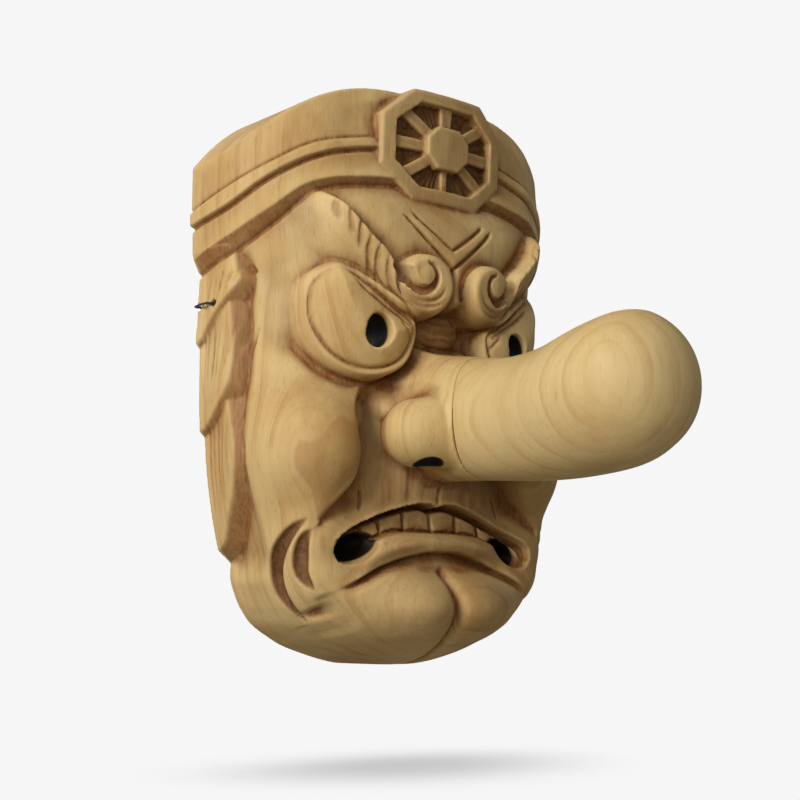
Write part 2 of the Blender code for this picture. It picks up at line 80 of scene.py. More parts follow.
# The square tenon behind the nose: half its side, the height of its middle, and where it ends
TENON_HALF, TENON_Z, TENON_END = 10.0, 80.0, -49.0
TENON_CLEARANCE, SOCKET_END = 0.35, -48.0
CORD_Z = 119.0

# Broad swellings (and hollows, if negative): centre, radii, height
SWELLINGS = (
    ((55, -42, 70), (17, 22, 18), 11),      # cheek
    ((41, -46, 68), (11, 20, 16), 3.5),     # cheek, beside the fold
    ((50, -42, 38), (13, 18, 17), 5),       # jowl
    ((35, -46, 112), (25, 24, 25), -5),     # eye socket
    ((12, -46, 58), (17, 20, 12), 2.5),     # muzzle
    ((12, -46, 39), (22, 18, 5), 3.5),      # lower lip
    ((10, -48, 32), (26, 18, 4.5), -1.5),   # groove under the lip
    ((13, -48, 18), (18, 20, 13), 4.0),     # chin
    ((26, -50, 147), (24, 20, 10), 1.5),    # forehead
    ((54, -36, 132), (12, 18, 18), -3),     # temple
)


# ---------------------------------------------------------------- numbers

def clamp(value, low=0.0, high=1.0):
    return np.clip(value, low, high)


def smooth(value):
    value = clamp(value)
    return value * value * (3 - 2 * value)


def ramp(value, start, end):
    return smooth((value - start) / (end - start))


def smooth_min(a, b, blend):
    share = clamp(0.5 + 0.5 * (b - a) / blend)
    return b + (a - b) * share - blend * share * (1 - share)


def smooth_max(a, b, blend):
    return -smooth_min(-a, -b, blend)


def along_curve(table, at):
    """Every column of table after the first, on a smooth curve through its rows, at the places in at."""
    rows = np.array(table, float)
    knots, values = rows[:, 0], rows[:, 1:]
    slopes = np.gradient(values, knots, axis=0, edge_order=1)
    at = clamp(np.asarray(at, float), knots[0], knots[-1])
    low = np.clip(np.searchsorted(knots, at) - 1, 0, len(knots) - 2)
    span = (knots[low + 1] - knots[low])[..., None]
    t = ((at - knots[low])[..., None]) / span
    return (
        (2 * t**3 - 3 * t**2 + 1) * values[low] + (t**3 - 2 * t**2 + t) * slopes[low] * span
        + (3 * t**2 - 2 * t**3) * values[low + 1] + (t**3 - t**2) * slopes[low + 1] * span
    )


def curve_through(points, steps=12, closed=False):
    """A smooth (Catmull-Rom) line through points."""
    p = np.array(points, float)
    if closed:
        p = np.vstack([p[-1], p, p[0], p[1]])
    else:
        p = np.vstack([2 * p[0] - p[1], p, 2 * p[-1] - p[-2]])
    line = []
    for i in range(1, len(p) - 2):
        a, b, c, d = p[i - 1], p[i], p[i + 1], p[i + 2]
        for t in np.arange(steps) / steps:
            line.append(0.5 * (2 * b + (c - a) * t + (2 * a - 5 * b + 4 * c - d) * t**2
                               + (3 * b - a - 3 * c + d) * t**3))
    line.append(p[-2])
    return np.array(line)


def distance_to(line, u, v):
    """Distance from each (u, v) to a polyline, the share of the line walked to reach the nearest point,
    and on which side of the line the point lies."""
    lengths = np.hypot(*(line[1:] - line[:-1]).T)
    walked = np.concatenate([[0], np.cumsum(lengths)])
    best = np.full(u.shape, 1e9, np.float32)
    share = np.zeros(u.shape, np.float32)
    side = np.ones(u.shape, np.float32)
    for k in range(len(line) - 1):
        start, run = line[k], line[k + 1] - line[k]
        size = lengths[k]
        if size < 1e-9:
            continue
        du, dv = u - start[0], v - start[1]
        t = clamp((du * run[0] + dv * run[1]) / size**2)
        away = np.hypot(du - t * run[0], dv - t * run[1])
        near = away < best
        best = np.where(near, away, best)
        share = np.where(near, (walked[k] + t * size) / walked[-1], share)
        side = np.where(near, np.sign(run[0] * dv - run[1] * du), side)
    return best, share, side


def inside_distance(outline, u, v):
    """Signed distance to a closed outline: positive inside it."""
    line = np.vstack([outline, outline[:1]])
    away, _, _ = distance_to(line, u, v)
    inside = np.zeros(u.shape, bool)
    for (ax, ay), (bx, by) in zip(line[:-1], line[1:]):
        crosses = (ay > v) != (by > v)
        with np.errstate(divide="ignore", invalid="ignore"):
            inside ^= crosses & (u < (bx - ax) * (v - ay) / (by - ay) + ax)
    return np.where(inside, away, -away)


def taper(share, start=0.12, end=0.12):
    """1 along the middle of a stroke and 0 at its two ends."""
    fade = np.ones_like(share)
    if start > 0:
        fade = fade * ramp(share, 0, start)
    if end > 0:
        fade = fade * (1 - ramp(share, 1 - end, 1))
    return fade


def value_noise(shape, cell, seed):
    """Smooth noise between -1 and 1 on a grid, with lumps about cell samples wide."""
    rng = np.random.default_rng(seed)
    coarse = rng.uniform(-1, 1, [int(n / cell) + 3 for n in shape])
    out = coarse
    for axis, n in enumerate(shape):
        at = np.arange(n) / cell
        low = at.astype(int)
        t = smooth(at - low).reshape([-1 if a == axis else 1 for a in range(len(shape))])
        out = np.take(out, low, axis) * (1 - t) + np.take(out, low + 1, axis) * t
    return out


# ---------------------------------------------------------------- the sculpting block

XS = np.arange(0, 74.01, VOXEL, dtype=np.float32)
YS = np.arange(-80, 2.01, VOXEL, dtype=np.float32)
ZS = np.arange(-3, 199.01, VOXEL, dtype=np.float32)
X, Y, Z = XS[:, None, None], YS[None, :, None], ZS[None, None, :]
FRONT_X, FRONT_Z = np.meshgrid(XS, ZS, indexing="ij")
SIDE_Y, SIDE_Z = np.meshgrid(-YS, ZS, indexing="ij")


def block(low, high):
    """Index ranges of the sculpting block between two corners, for working on one corner of it."""
    ranges = []
    for axis, a, b in zip((XS, YS, ZS), low, high):
        ranges.append(slice(int(np.searchsorted(axis, a)), int(np.searchsorted(axis, b))))
    i, j, k = ranges
    return (i, j, k), XS[i][:, None, None], YS[j][None, :, None], ZS[k][None, None, :]


def ellipsoid(x, y, z, centre, radii):
    scaled = np.sqrt(sum(((a - c) / r) ** 2 for a, c, r in zip((x, y, z), centre, radii)))
    return (scaled - 1) * min(radii)


def shell_field(inset_x=0.0, inset_y=0.0):
    """Distance outside the plain rounded shell, and how far round from the nose line each place lies."""
    wide, deep, power = (c[None, None, :].astype(np.float32) for c in along_curve(SLICES, ZS).T)
    wide, deep = np.maximum(wide - inset_x, 2), np.maximum(deep - inset_y, 2)
    across, ahead = X / wide, np.maximum(-Y, 0) / deep
    a, b = across**power, ahead**power
    full = np.maximum(a + b, 1e-6)
    radius = full ** (1 / power)
    steep = radius * np.hypot(a / np.maximum(across, 1e-3) / wide, b / np.maximum(ahead, 1e-3) / deep) / full
    field = (radius - 1) / np.maximum(steep, 1 / (1.6 * np.minimum(wide, deep)))
    return field.astype(np.float32), across, ahead


CROWN_HALF_WIDTH, CROWN_FOOT, CROWN_RISE = 71, 167.3, 27.2


def crown_height(x, drop=0.0):
    """Height of the arched top edge, or of a line that much below it."""
    share = clamp(np.abs(x) / (CROWN_HALF_WIDTH - 0.4 * drop))
    return CROWN_FOOT - drop + CROWN_RISE * (1 - share**3.4)


# ---------------------------------------------------------------- strokes on the front and sides

class Relief:
    """Maps, over a view of the mask, of how far the wood stands proud (or is cut in) and how brown it is: the
    brown is partly stain and partly painted shade in the cuts and hollows.
    """

    def __init__(self, u, v):
        self.u, self.v = u, v
        self.height = np.zeros(u.shape, np.float32)
        self.stain_and_shade = np.zeros(u.shape, np.float32)

    def line(self, points):
        return distance_to(curve_through(points), self.u, self.v)

    # brown: stain in the cuts and painted shade in cuts and hollows, held in one map
    def brown(self, amount):
        self.stain_and_shade = np.maximum(self.stain_and_shade, amount)

    def groove(self, points, width, depth, start=0.12, end=0.12, stain_and_shade=0.5):
        """A V-shaped cut along a line."""
        away, share, _ = self.line(points)
        fade = taper(share, start, end)
        cut = fade * clamp(1 - away / (width * (0.35 + 0.65 * fade))) ** 0.8
        self.height -= depth * cut
        self.brown(stain_and_shade * clamp(1.6 * cut))

    def trough(self, points, widths, depths, stain_and_shade=0.8):
        """A rounded cut whose width and depth change from its start to its end."""
        away, share, _ = self.line(points)
        width = widths[0] + (widths[1] - widths[0]) * share
        depth = depths[0] + (depths[1] - depths[0]) * share
        cut = np.sqrt(clamp(1 - (away / width) ** 2))
        self.height -= depth * cut
        self.brown(stain_and_shade * cut)

    def channel(self, points, width, depth, start=0.12, end=0.12, stain_and_shade=0.0):
        """A soft hollow along a line."""
        away, share, _ = self.line(points)
        cut = taper(share, start, end) * np.exp(-((away / width) ** 2))
        self.height -= depth * cut
        self.brown(stain_and_shade * cut)

    def ridge(self, points, width, height, start=0.12, end=0.12):
        away, share, _ = self.line(points)
        self.height += height * taper(share, start, end) * np.exp(-((away / width) ** 2))

    def step(self, points, depth, near, far, start=0.12, end=0.12, stain_and_shade=0.7):
        """A cut with a steep wall on the line's left and a slope that runs out far from it on the right."""
        away, share, side = self.line(points)
        right = -away * side
        slope = np.where(right > 0, clamp(1 - right / far) ** 1.5, smooth(1 + right / near))
        cut = taper(share, start, end) * slope
        self.height -= depth * cut
        self.brown(stain_and_shade * clamp(1.3 * cut))


def dome(inside, width):
    """A quarter-round profile that rises from an edge over a width."""
    return np.sqrt(1 - (1 - clamp(inside / width)) ** 2)


# The eye's inner corner as its outlines are drawn, where it is set, and how much wider the eye is made
EYE_DRAWN, EYE_SET, EYE_STRETCH = 18.6, 15.5, 1.036


def eye_place(points):
    """Points of the eye's outlines, set nearer the nose and stretched a little sideways."""
    return [(EYE_SET + (x - EYE_DRAWN) * EYE_STRETCH, z) for x, z in points]


def eye(r):
    """A bulging eyeball with a lid round it, and the hollow that it sits in."""
    rim = eye_place([(44.6, 131.6), (49.8, 129.6), (53.8, 124), (54.8, 115.5), (53.5, 107.5), (49.8, 100),
                     (43.8, 95.2), (36, 93.2), (28.5, 94.1), (22.4, 97.6), (18.9, 103.5), (17.4, 110.6),
                     (19.4, 114.8), (26.6, 119.6), (36, 126.6)])
    outline = curve_through(rim, 8, closed=True)
    from_rim = inside_distance(outline, r.u, r.v)
    out = 1 - clamp(from_rim / 18.2)
    r.height += np.where(from_rim > 0, 8.6 * (1 - out**2) ** 0.72, 0)
    # the lid is a collar between two cut lines, thicker below the eye
    below = ramp(-r.v, -114, -100)
    seen = 1 - ramp(r.v, 124, 131)
    lid = 2.5 + 0.9 * below
    collar = np.exp(-(((from_rim - 1.3) / 1.1) ** 2)) * (0.5 + 0.9 * below) * seen
    r.height += np.where(from_rim > -0.5, collar, 0)
    line = np.exp(-(((from_rim - lid) / 0.55) ** 2)) * seen
    r.height -= 1.1 * line
    r.brown(0.55 * line)
    # the hollow outside the lid, deepest towards the nose, browned with painted shade
    to_nose = ramp(-r.u, -34, -15)
    outer = np.exp(-((clamp(-from_rim - 0.8, 0, 30) / 3.4) ** 2)) * ramp(-from_rim, -0.4, 0.8) * seen
    depth = 0.9 + 2.0 * below + 3.6 * to_nose * ramp(-r.v, -120, -108)
    r.height -= outer * depth
    r.brown(outer * clamp(0.25 + 0.55 * below + 0.5 * to_nose))
    r.groove(eye_place([(42.5, 126.5), (38.3, 122.3), (32.7, 118.2), (26.5, 114.4), (20.8, 110.8)]),
             0.8, 1.0, 0.2, 0.05)
    r.groove(eye_place([(26, 113.2), (22.6, 109.4), (20.2, 105.6)]), 0.7, 1.0, 0.2, 0.2)
    # a soft hollow at the temple, lightly browned with painted shade
    r.channel([(55, 134), (58, 125), (58.6, 114), (56.5, 104), (51, 96)], 4.2, 2.0, 0.3, 0.3, stain_and_shade=0.15)


BROW_TOP = ((52, 156), (47.4, 155), (42.6, 150.6), (38.4, 145), (33.9, 140.2), (29, 136), (25.2, 130.8),
            (23.4, 125.4), (21, 121.5))
BROW_LOW = ((56, 141), (51, 135.5), (46, 132), (41, 128.5), (36.5, 124), (30.5, 119.2), (25.5, 115.9),
            (20, 113.9), (14.5, 114))
# The curl at the brow's inner end and the knob in it: middle, radius
CURL, CURL_RADIUS = (14.2, 125.2), 10.9
KNOB, KNOB_RADIUS = (16.4, 128.0), 3.9


def brow(r):
    """The slanting brow, highest along its upper edge, which ends in a curl beside the nose."""
    top = curve_through(BROW_TOP, 10)
    low = curve_through(BROW_LOW, 10)
    within = inside_distance(np.vstack([top, low[::-1]]), r.u, r.v)
    from_top, walked, _ = distance_to(top, r.u, r.v)
    from_low, _, _ = distance_to(low, r.u, r.v)
    rise = from_low / np.maximum(from_low + from_top, 0.1)
    swell = 6.6 * (0.1 + 0.9 * smooth(rise * 1.15)) * smooth(from_top / 3.6 + 0.2)
    swell *= ramp(-r.u, -53.5, -43) * ramp(from_low, 0, 3)
    r.height += np.where(within > 0, swell, 0)
    # the forehead falls away beside the brow, and the fall is browned with painted shade
    beside = (within <= 0) & (r.v > 124) & (r.u > 13)
    fall = np.exp(-((from_top / 5.5) ** 2)) * ramp(walked, 0.1, 0.5) * (1 - ramp(walked, 0.93, 1))
    r.height -= np.where(beside, 2.0 * fall * ramp(from_top, -0.5, 1.2), 0)
    r.brown(np.where(beside, 0.3 * fall, 0))
    # the sunk place between the curls, with the wrinkled lump in it; the sunk place is browned with painted
    # shade
    disc = CURL_RADIUS - np.hypot(r.u - CURL[0], r.v - CURL[1])
    sunk = 1 - np.sqrt((r.u / 16.5) ** 2 + ((r.v - 111.6) / 10.5) ** 2)
    r.height -= 8.5 * smooth(sunk * 2.6) * ramp(-disc, -0.6, 1.2)
    r.brown(0.8 * smooth(sunk * 2.6) * ramp(-disc, 0, 1.2))
    lump = np.sqrt((r.u / 10.5) ** 2 + ((r.v - 112.3) / 6.0) ** 2)
    r.height += 5.2 * np.sqrt(clamp(1 - lump**2)) * ramp(-disc, 0, 1.0)
    # the curl: a disc with a steep edge, a hollow behind its knob, and a spiral cut round the knob
    r.height = np.where(disc > 0, np.maximum(r.height, 6.4 * dome(disc, 3.0)), r.height)
    r.trough([(25.6, 131.0), (23.2, 128.4), (20.9, 125.0), (18.2, 123.2), (15.2, 123.1), (12.7, 125.0),
              (11.8, 128.2), (13.0, 131.0), (15.4, 132.2)], (2.9, 0.55), (5.2, 1.1), stain_and_shade=0.6)
    knob = np.hypot(r.u - KNOB[0], r.v - KNOB[1])
    ball = 5.2 + 1.6 * np.sqrt(clamp(1 - (knob / KNOB_RADIUS) ** 2))
    ball *= dome(KNOB_RADIUS - knob, 0.9)
    r.height = np.where(knob < KNOB_RADIUS, np.maximum(r.height, ball), r.height)


def hair(r):
    """Strokes that start upright at the brow's upper edge and sweep down into the curl."""
    strands = (
        [(46.2, 152), (46.4, 147.5), (45.2, 143)],
        [(43, 149.4), (43, 144), (41.4, 138)],
        [(40, 145.6), (39.8, 140), (38, 133.6)],
        [(36.8, 141.8), (36.4, 135.5), (33.6, 128.4), (30, 123)],
        [(33.6, 138.6), (33.2, 132.8), (30.6, 125.8), (26.4, 120.4)],
        [(30.4, 135.6), (29.8, 130.6), (27, 124.2), (22.8, 119.2), (17.2, 116.8)],
        [(27.6, 132), (26.8, 127.6), (24, 122.6), (20, 119.2), (15, 117.6), (9.8, 118.8), (6.6, 122)],
        [(25.4, 127.6), (23.8, 124), (21, 121), (17.2, 119.4), (12.6, 119.9), (9.2, 122.6), (8, 127)],
    )
    for k, strand in enumerate(strands):
        r.groove(strand, 0.85, 1.1 if k > 1 else 0.8, 0.3, 0.35, stain_and_shade=0.55)
    for k in range(4):
        short = [(36.5 - 3.2 * k, 129 - 2.6 * k), (33 - 3 * k, 123.6 - 2.2 * k),
                 (28 - 3.2 * k, 119.4 - 1.5 * k)]
        r.groove(short, 0.6, 0.5, 0.3, 0.4, stain_and_shade=0.2)


def forehead(r):
    """The double V of frown lines, and the wrinkles between the brows."""
    r.groove([(17, 151.5), (12, 147.6), (6, 143.4), (-0.5, 139.2)], 0.85, 1.5, 0.15, 0, stain_and_shade=0.8)
    r.groove([(21, 150.5), (15, 145), (7.5, 138.8), (-0.5, 132.6)], 0.9, 1.7, 0.15, 0, stain_and_shade=0.8)
    r.ridge([(17, 148.5), (11, 144), (5, 139.8), (-0.5, 136)], 2.0, 0.3, 0.2, 0)
    r.groove([(0, 133.4), (0, 128), (0, 119)], 1.6, 3.4, 0.03, 0.1, stain_and_shade=0.7)
    # wrinkles of the lump between the curls and the nose
    r.groove([(0, 112), (3.5, 111.4), (7, 113), (9, 115)], 0.8, 0.9, 0, 0.2)
    r.groove([(0, 115), (4, 114.8), (7, 116.6)], 0.7, 0.7, 0, 0.2)
    r.groove([(0, 109), (4.5, 108.6), (8.5, 110.4)], 0.7, 0.6, 0, 0.2)


def cheeks(r):
    """The fold from the nose wing to the corner of the mouth: the cheek ends in a steep wall, and the fold is
    browned with painted shade.
    """
    fold = [(17, 91), (24.5, 90), (29.5, 85), (31.2, 76), (31.6, 65), (34.6, 57.2), (41, 51.4), (47, 46.4)]
    away, share, side = r.line(fold)
    deep = np.interp(share, (0, 0.12, 0.3, 0.45, 0.62, 0.8, 1), (2.5, 5.5, 9.5, 9.5, 7.0, 4.2, 1.5))
    reach = np.interp(share, (0, 0.3, 0.5, 0.7, 1), (4, 11, 14, 9, 3))
    cheek_wall = smooth(1 - away / np.interp(share, (0, 0.3, 0.6, 1), (3, 6.5, 5, 2.6)))
    muzzle = np.exp(-((away / reach) ** 2))
    cut = np.where(side > 0, cheek_wall, muzzle)
    r.height -= (deep * cut).astype(np.float32)
    # painted shade along the fold, darkest at the cheek's wall and along the fold's deep middle
    r.brown(0.9 * np.where(side > 0, clamp(1.25 - away / 2.8), np.exp(-((away / (0.75 * reach)) ** 2)))
            * clamp(deep / 6))
    r.brown(1.0 * np.exp(-((away / 6.5) ** 2)) * ramp(share, 0.1, 0.2) * (1 - ramp(share, 0.5, 0.75)))


# The gaps between the teeth: distance from the middle and height of the top, then where they all start
# from below, and how far out the last tooth reaches
TOOTH_GAPS = ((0, 51.2), (11.7, 50.8), (22.2, 48), (29.4, 45.8))
TEETH_FOOT, TEETH_END = 43.8, 34


def mouth(r):
    """The down-turned mouth: lips, teeth, the muzzle above and the groove below."""
    lip_top = [(44, 36.4), (42.6, 40.2), (38, 43.2), (31, 46.2), (22, 49.6), (13, 52.2), (6.5, 53.4),
               (3, 53.2), (-1, 52.0)]
    lip_low = [(-1, 43.2), (8, 43.4), (17, 43), (23, 41.4), (28, 38.4), (32, 35.4), (37, 32.8), (42, 33)]
    opening = np.vstack([curve_through(lip_top, 8), curve_through(lip_low, 8)])
    within = inside_distance(opening, r.u, r.v)
    # the teeth stand a little behind the lips, with a deep line cut under the upper lip and browned with
    # painted shade; the whole opening gets a little painted shade too
    from_lip, share, _ = r.line(lip_top)
    r.height -= np.where(within > 0, 3.4 * ramp(within, 0, 0.7), 0)
    shadow = np.exp(-(((from_lip - 1.1) / 0.9) ** 2)) * (within > 0)
    r.height -= 4.6 * shadow * taper(share, 0.1, 0)
    r.brown(shadow)
    r.brown(0.3 * (within > 0))
    r.height += np.exp(-(((from_lip + 0.2) / 1.7) ** 2)) * (within <= 0) * 0.8 * taper(share, 0.15, 0)
    r.groove([(-1, 43.6), (8, 43.8), (17, 43.4), (23, 42), (29, 40.5)], 0.8, 1.8, 0, 0.1, stain_and_shade=0.9)
    # the gaps between the teeth are cut in and filled with painted shade
    for gap, top in TOOTH_GAPS:
        away = np.hypot(r.u - gap, np.maximum(r.v - top, 0) + np.maximum(TEETH_FOOT - r.v, 0))
        r.height -= 2.6 * clamp(1 - away / 0.85)
        r.brown(0.95 * clamp(1.5 - away / 0.8))
    ends = [gap for gap, _ in TOOTH_GAPS] + [TEETH_END]
    for low, high in zip(ends, ends[1:]):
        middle, half = (low + high) / 2, (high - low) / 2
        bulge = clamp(1 - ((r.u - middle) / half) ** 2) ** 0.5
        r.height += np.where((within > 1.6) & (np.abs(r.u - middle) < half), 0.8 * bulge, 0)
    # the muzzle and the band of the mouth are browned: partly stain, partly painted shade under the nose
    r.brown(0.55 * np.exp(-(((r.u - 12) / 22) ** 4) - ((r.v - 57) / 9) ** 4))
    r.brown(0.4 * np.exp(-(((r.u - 12) / 34) ** 4) - ((r.v - 38) / 12) ** 4))
    # the muzzle's vertical tool marks
    marks = value_noise((len(XS),), 1.6 / VOXEL, 5)[:, None] * ramp(-r.u, -30, -24)
    r.height += 0.3 * marks * ramp(r.v, 52, 55) * (1 - ramp(r.v, 62, 70)) * (within <= 0)
    r.groove([(-0.2, 62), (0.2, 54.2)], 0.8, 1.1, 0.1, 0, stain_and_shade=0.6)
    r.groove([(29.5, 57), (30.2, 52.5), (31.2, 49.6)], 0.8, 0.9, stain_and_shade=0.6)
    # under the lower lip: a step whose groove is browned with painted shade, near black at its deepest
    under = [(-1, 36.4), (6, 36.2), (14, 34.6), (21.5, 32.4), (28, 30.2), (34, 27.6), (40.5, 24.6),
             (44.5, 24)]
    r.step(under, 3.6, 1.3, 3.4, start=0, end=0.3, stain_and_shade=0.95)
    r.ridge([(-1, 40.6), (10, 40.4), (20, 38.4), (27, 35), (34, 31.2), (40, 29.4)], 2.6, 1.5, 0, 0.25)


def mouth_corner(r):
    """Shallow folds that run from the corner of the mouth on to the jaw, browned with stain and painted
    shade.
    """
    r.channel([(45, 24), (43, 19), (40, 14.6)], 2.2, 1.2, 0.25, 0.3, stain_and_shade=0.35)
    r.groove([(41.8, 13.2), (40.6, 10.8), (39.8, 8.2)], 0.7, 0.8)


def chin(r):
    """The cleft chin: a boss each side of a deep cut."""
    cleft = [(0.4, 32.5), (0.2, 28), (0.5, 22), (0.3, 14), (0, 7), (0, 1)]
    away, share, _ = r.line(cleft)
    cut = taper(share, 0.12, 0) * np.exp(-((away / 1.7) ** 1.4))
    r.height -= 4.4 * cut
    # painted shade in the cleft
    r.brown(0.85 * np.exp(-((away / 1.5) ** 2)))
    boss = ((r.u - 13) / 15) ** 2 + ((r.v - 19) / 13) ** 2
    r.height += 3.4 * np.exp(-1.4 * boss)
    # the bosses are browned: partly stain, partly painted shade
    r.brown(0.32 * np.exp(-((boss / 1.6) ** 2)))
    r.channel([(45, 20), (39, 14.5), (33, 9)], 3.2, 1.4, 0.2, 0.3, stain_and_shade=0.2)
    r.channel([(8, 5.5), (16, 7.4), (25, 6.4), (32, 5)], 1.6, 0.4, 0.3, 0.3)


def front_relief():
    """Everything that is cut into the face from the front, and the faint facets that the knife leaves."""
    r = Relief(FRONT_X, FRONT_Z)
    for carve in (eye, brow, hair, forehead, cheeks, mouth, mouth_corner, chin):
        carve(r)
    facets = 0.2 * value_noise(r.u.shape, 9 / VOXEL, 11) + 0.12 * value_noise(r.u.shape, 4.5 / VOXEL, 12)
    r.height += facets.astype(np.float32)
    return r


# Locks of hair: front and lower edge (distance in front of the rim, height), and the height where it begins
LOCKS = (
    ([(22.5, 138), (24.4, 131), (25.6, 124.6), (20, 117.5), (12.5, 110.5), (5.5, 104), (-3, 100)], 138),
    ([(21, 122), (22.6, 110), (23.4, 99), (21.4, 89.5), (15.5, 81.5), (8, 75), (-3, 71)], 122),
    ([(18.6, 91), (22.4, 80), (25, 68.5), (22.4, 57), (15.5, 46), (8, 36.5), (-3, 31)], 92),
)
LOCK_SINK, LOCK_BEVEL = 2.8, 4.8
# Where the strokes of hair on each lock start and end
LOCK_STROKES = ((131, 108), (115, 82), (84, 44))


def side_relief():
    """Shingled locks of hair on the cheek sides, each proudest along its front and lower edge, with painted
    shade on its bevel.
    """
    r = Relief(SIDE_Y, SIDE_Z)
    hairy = ramp(r.v, 26, 38) * (1 - ramp(r.v, 128, 138)) * (1 - ramp(r.u, 20, 27))
    height = -2.6 * hairy
    for edge, start in LOCKS[::-1]:
        line = curve_through(edge, 8)
        outline = np.vstack([line, [(-8, edge[-1][1]), (-8, start), (edge[0][0], start)]])
        within = inside_distance(outline, r.u, r.v)
        from_edge, _, _ = distance_to(line, r.u, r.v)
        down = clamp((start - r.v) / (start - edge[-1][1]))
        full = 0.6 + 3.2 * down - 1.3 * (1 - ramp(r.u, 0, 14))
        proud = -LOCK_SINK + (full + LOCK_SINK) * clamp(from_edge / LOCK_BEVEL)
        over = (within > 0) & (proud > height)
        height = np.where(over, proud, height)
        # painted shade on the bevel under each lock's edge, partly the brown of cut wood
        bevel = 1 - ramp(from_edge, LOCK_BEVEL - 1.2, LOCK_BEVEL + 0.3)
        r.stain_and_shade = np.where(over, 0.85 * bevel, r.stain_and_shade)
    r.height = height
    for k in range(12):
        for top, low in LOCK_STROKES:
            y = 2.4 + 2.0 * k + 0.7 * math.sin(2.1 * k + top)
            bend = 1.0 * math.sin(1.7 * k + top)
            foot = low + 0.9 * y - 3 * (k % 2)
            stroke = [(y + 1.2, top - 1.8 * (k % 3)), (y + bend * 0.5, (top + foot) / 2), (y - 1.2, foot)]
            r.groove(stroke, 0.8, 0.55, 0.3, 0.3, stain_and_shade=0.16)
    return r


# ---------------------------------------------------------------- the shell

# Heights of the band's bottom, its strip's bottom and its top, by bearing from straight ahead in degrees
BAND_BOTTOM = ((0, 161), (25, 159), (43, 154), (53.5, 146), (68, 137), (90, 130))
STRIP_BOTTOM = ((0, 173), (26, 171), (40, 166), (51, 160), (68, 151), (90, 146))
STRIP_TOP = ((0, 177), (26, 174.5), (40, 170), (51, 164), (68, 157), (90, 151))


def headband(field, angle):
    """A sloping band, a narrow strip along its top, the shadow lines beside them, and the cap above."""
    bottom, strip, top = (along_curve(t, angle)[..., 0].astype(np.float32) for t in
                          (BAND_BOTTOM, STRIP_BOTTOM, STRIP_TOP))
    chamfer = band_chamfer(angle)
    band = 2.9 * clamp((Z - bottom) / chamfer)
    raised = 1.1 * clamp((Z - strip) / 0.7) - 0.7 * clamp((Z - top) / 0.9)
    line_low = 1.3 * clamp(1 - np.abs(Z - strip + 0.6) / 1.0)
    line_high = 0.8 * clamp(1 - np.abs(Z - top - 0.5) / 0.9)
    root = 0.9 * clamp(1 - np.abs(Z - bottom + 0.5) / 1.2)
    return field - band - raised + line_low + line_high + root


def band_chamfer(angle):
    return 2.4 + 2.6 * ramp(angle, 35, 75)


# painted shade under the band's chamfer and along the strip's two lines, partly also stain
def headband_stain_and_shade(angle, z):
    bottom, strip, top = (along_curve(t, angle)[..., 0] for t in (BAND_BOTTOM, STRIP_BOTTOM, STRIP_TOP))
    chamfer = band_chamfer(angle)
    under = ramp(z - bottom, -1.5, -0.3) * (1 - ramp(z - bottom, chamfer - 0.5, chamfer + 0.2))
    low = clamp(1.3 - np.abs(z - strip + 0.6) / 1.1)
    high = clamp(1.2 - np.abs(z - top - 0.5) / 0.9)
    return np.maximum(np.maximum(0.85 * under, 0.9 * low), 0.45 * high)


def octagon(x, z, half_wide, half_high, side_half, top_half):
    """Distance outside an octagon that is wider than it is tall."""
    slope = np.array([half_high - side_half, half_wide - top_half])
    slope /= np.hypot(*slope)
    corner = (np.abs(x) - half_wide) * slope[0] + (np.abs(z) - side_half) * slope[1]
    return np.maximum(np.maximum(np.abs(x) - half_wide, np.abs(z) - half_high), corner)


ORNAMENT_Z = 175.6
ORNAMENT_FACE = -51.0
ORNAMENT_SINK = 4.2
# Octagons: half width, half height, half of the upright side, half of the flat top
ORNAMENT_EDGE = (27.2, 19.4, 8.6, 14.6)
ORNAMENT_FLOOR = (21.6, 14.6, 6.8, 11.8)
HUB_EDGE = (9.2, 7.2, 3.0, 4.6)
SPOKES = (0, 42, 88, 138, 180, 222, 268, 318)
SPOKE_REACH = (22.5, 15.2)


def ornament_face(x, local_z):
    """The ornament's front, which leans back at its foot and bends a little round the head."""
    return ORNAMENT_FACE - 0.06 * local_z + 0.0036 * x**2


def ornament(field):
    """The octagonal ornament: raised rim, sunk floor, hub and eight spokes."""
    place, x, y, z = block((0, -62, 150), (34, -30, 200))
    local_z = z - ORNAMENT_Z
    face = ornament_face(x, local_z)
    wood = field[place]
    outer = octagon(x, local_z, *ORNAMENT_EDGE)
    plate = smooth_max(outer, face - y, 1.2)
    wood = smooth_min(wood, np.maximum(plate, y + 30), 0.6)
    inner = octagon(x, local_z, *ORNAMENT_FLOOR)
    floor = face + ORNAMENT_SINK
    recess = np.maximum(inner + 0.12 * (y - face), y - floor)
    wood = np.maximum(wood, -recess)
    spokes = np.full(np.broadcast_shapes(x.shape, z.shape), 1e9, np.float32)
    for angle in np.radians(SPOKES):
        reach = np.array(SPOKE_REACH) * (math.cos(angle), math.sin(angle))
        size = np.hypot(*reach)
        t = clamp((x * reach[0] + local_z * reach[1]) / size**2, 0, 1.02)
        away = np.hypot(x - t * reach[0], local_z - t * reach[1])
        spokes = np.minimum(spokes, away - 1.75 - 0.3 * t)
    rib = smooth_max(spokes, face + 1.5 - y, 0.4)
    hub = smooth_max(octagon(x, local_z, *HUB_EDGE), face - 0.9 - y, 0.6)
    inside = np.maximum(np.minimum(rib, hub), y - floor - 2)
    inside = np.maximum(inside, inner - 0.4)
    # gouge marks that fan out over the floor
    turn = np.arctan2(local_z, x)
    fan = 0.35 * np.sin(turn * 34 + 2 * np.sin(turn * 5)) * (inner < 0)
    field[place] = np.minimum(wood + fan * (np.abs(y - floor) < 1.5), inside)


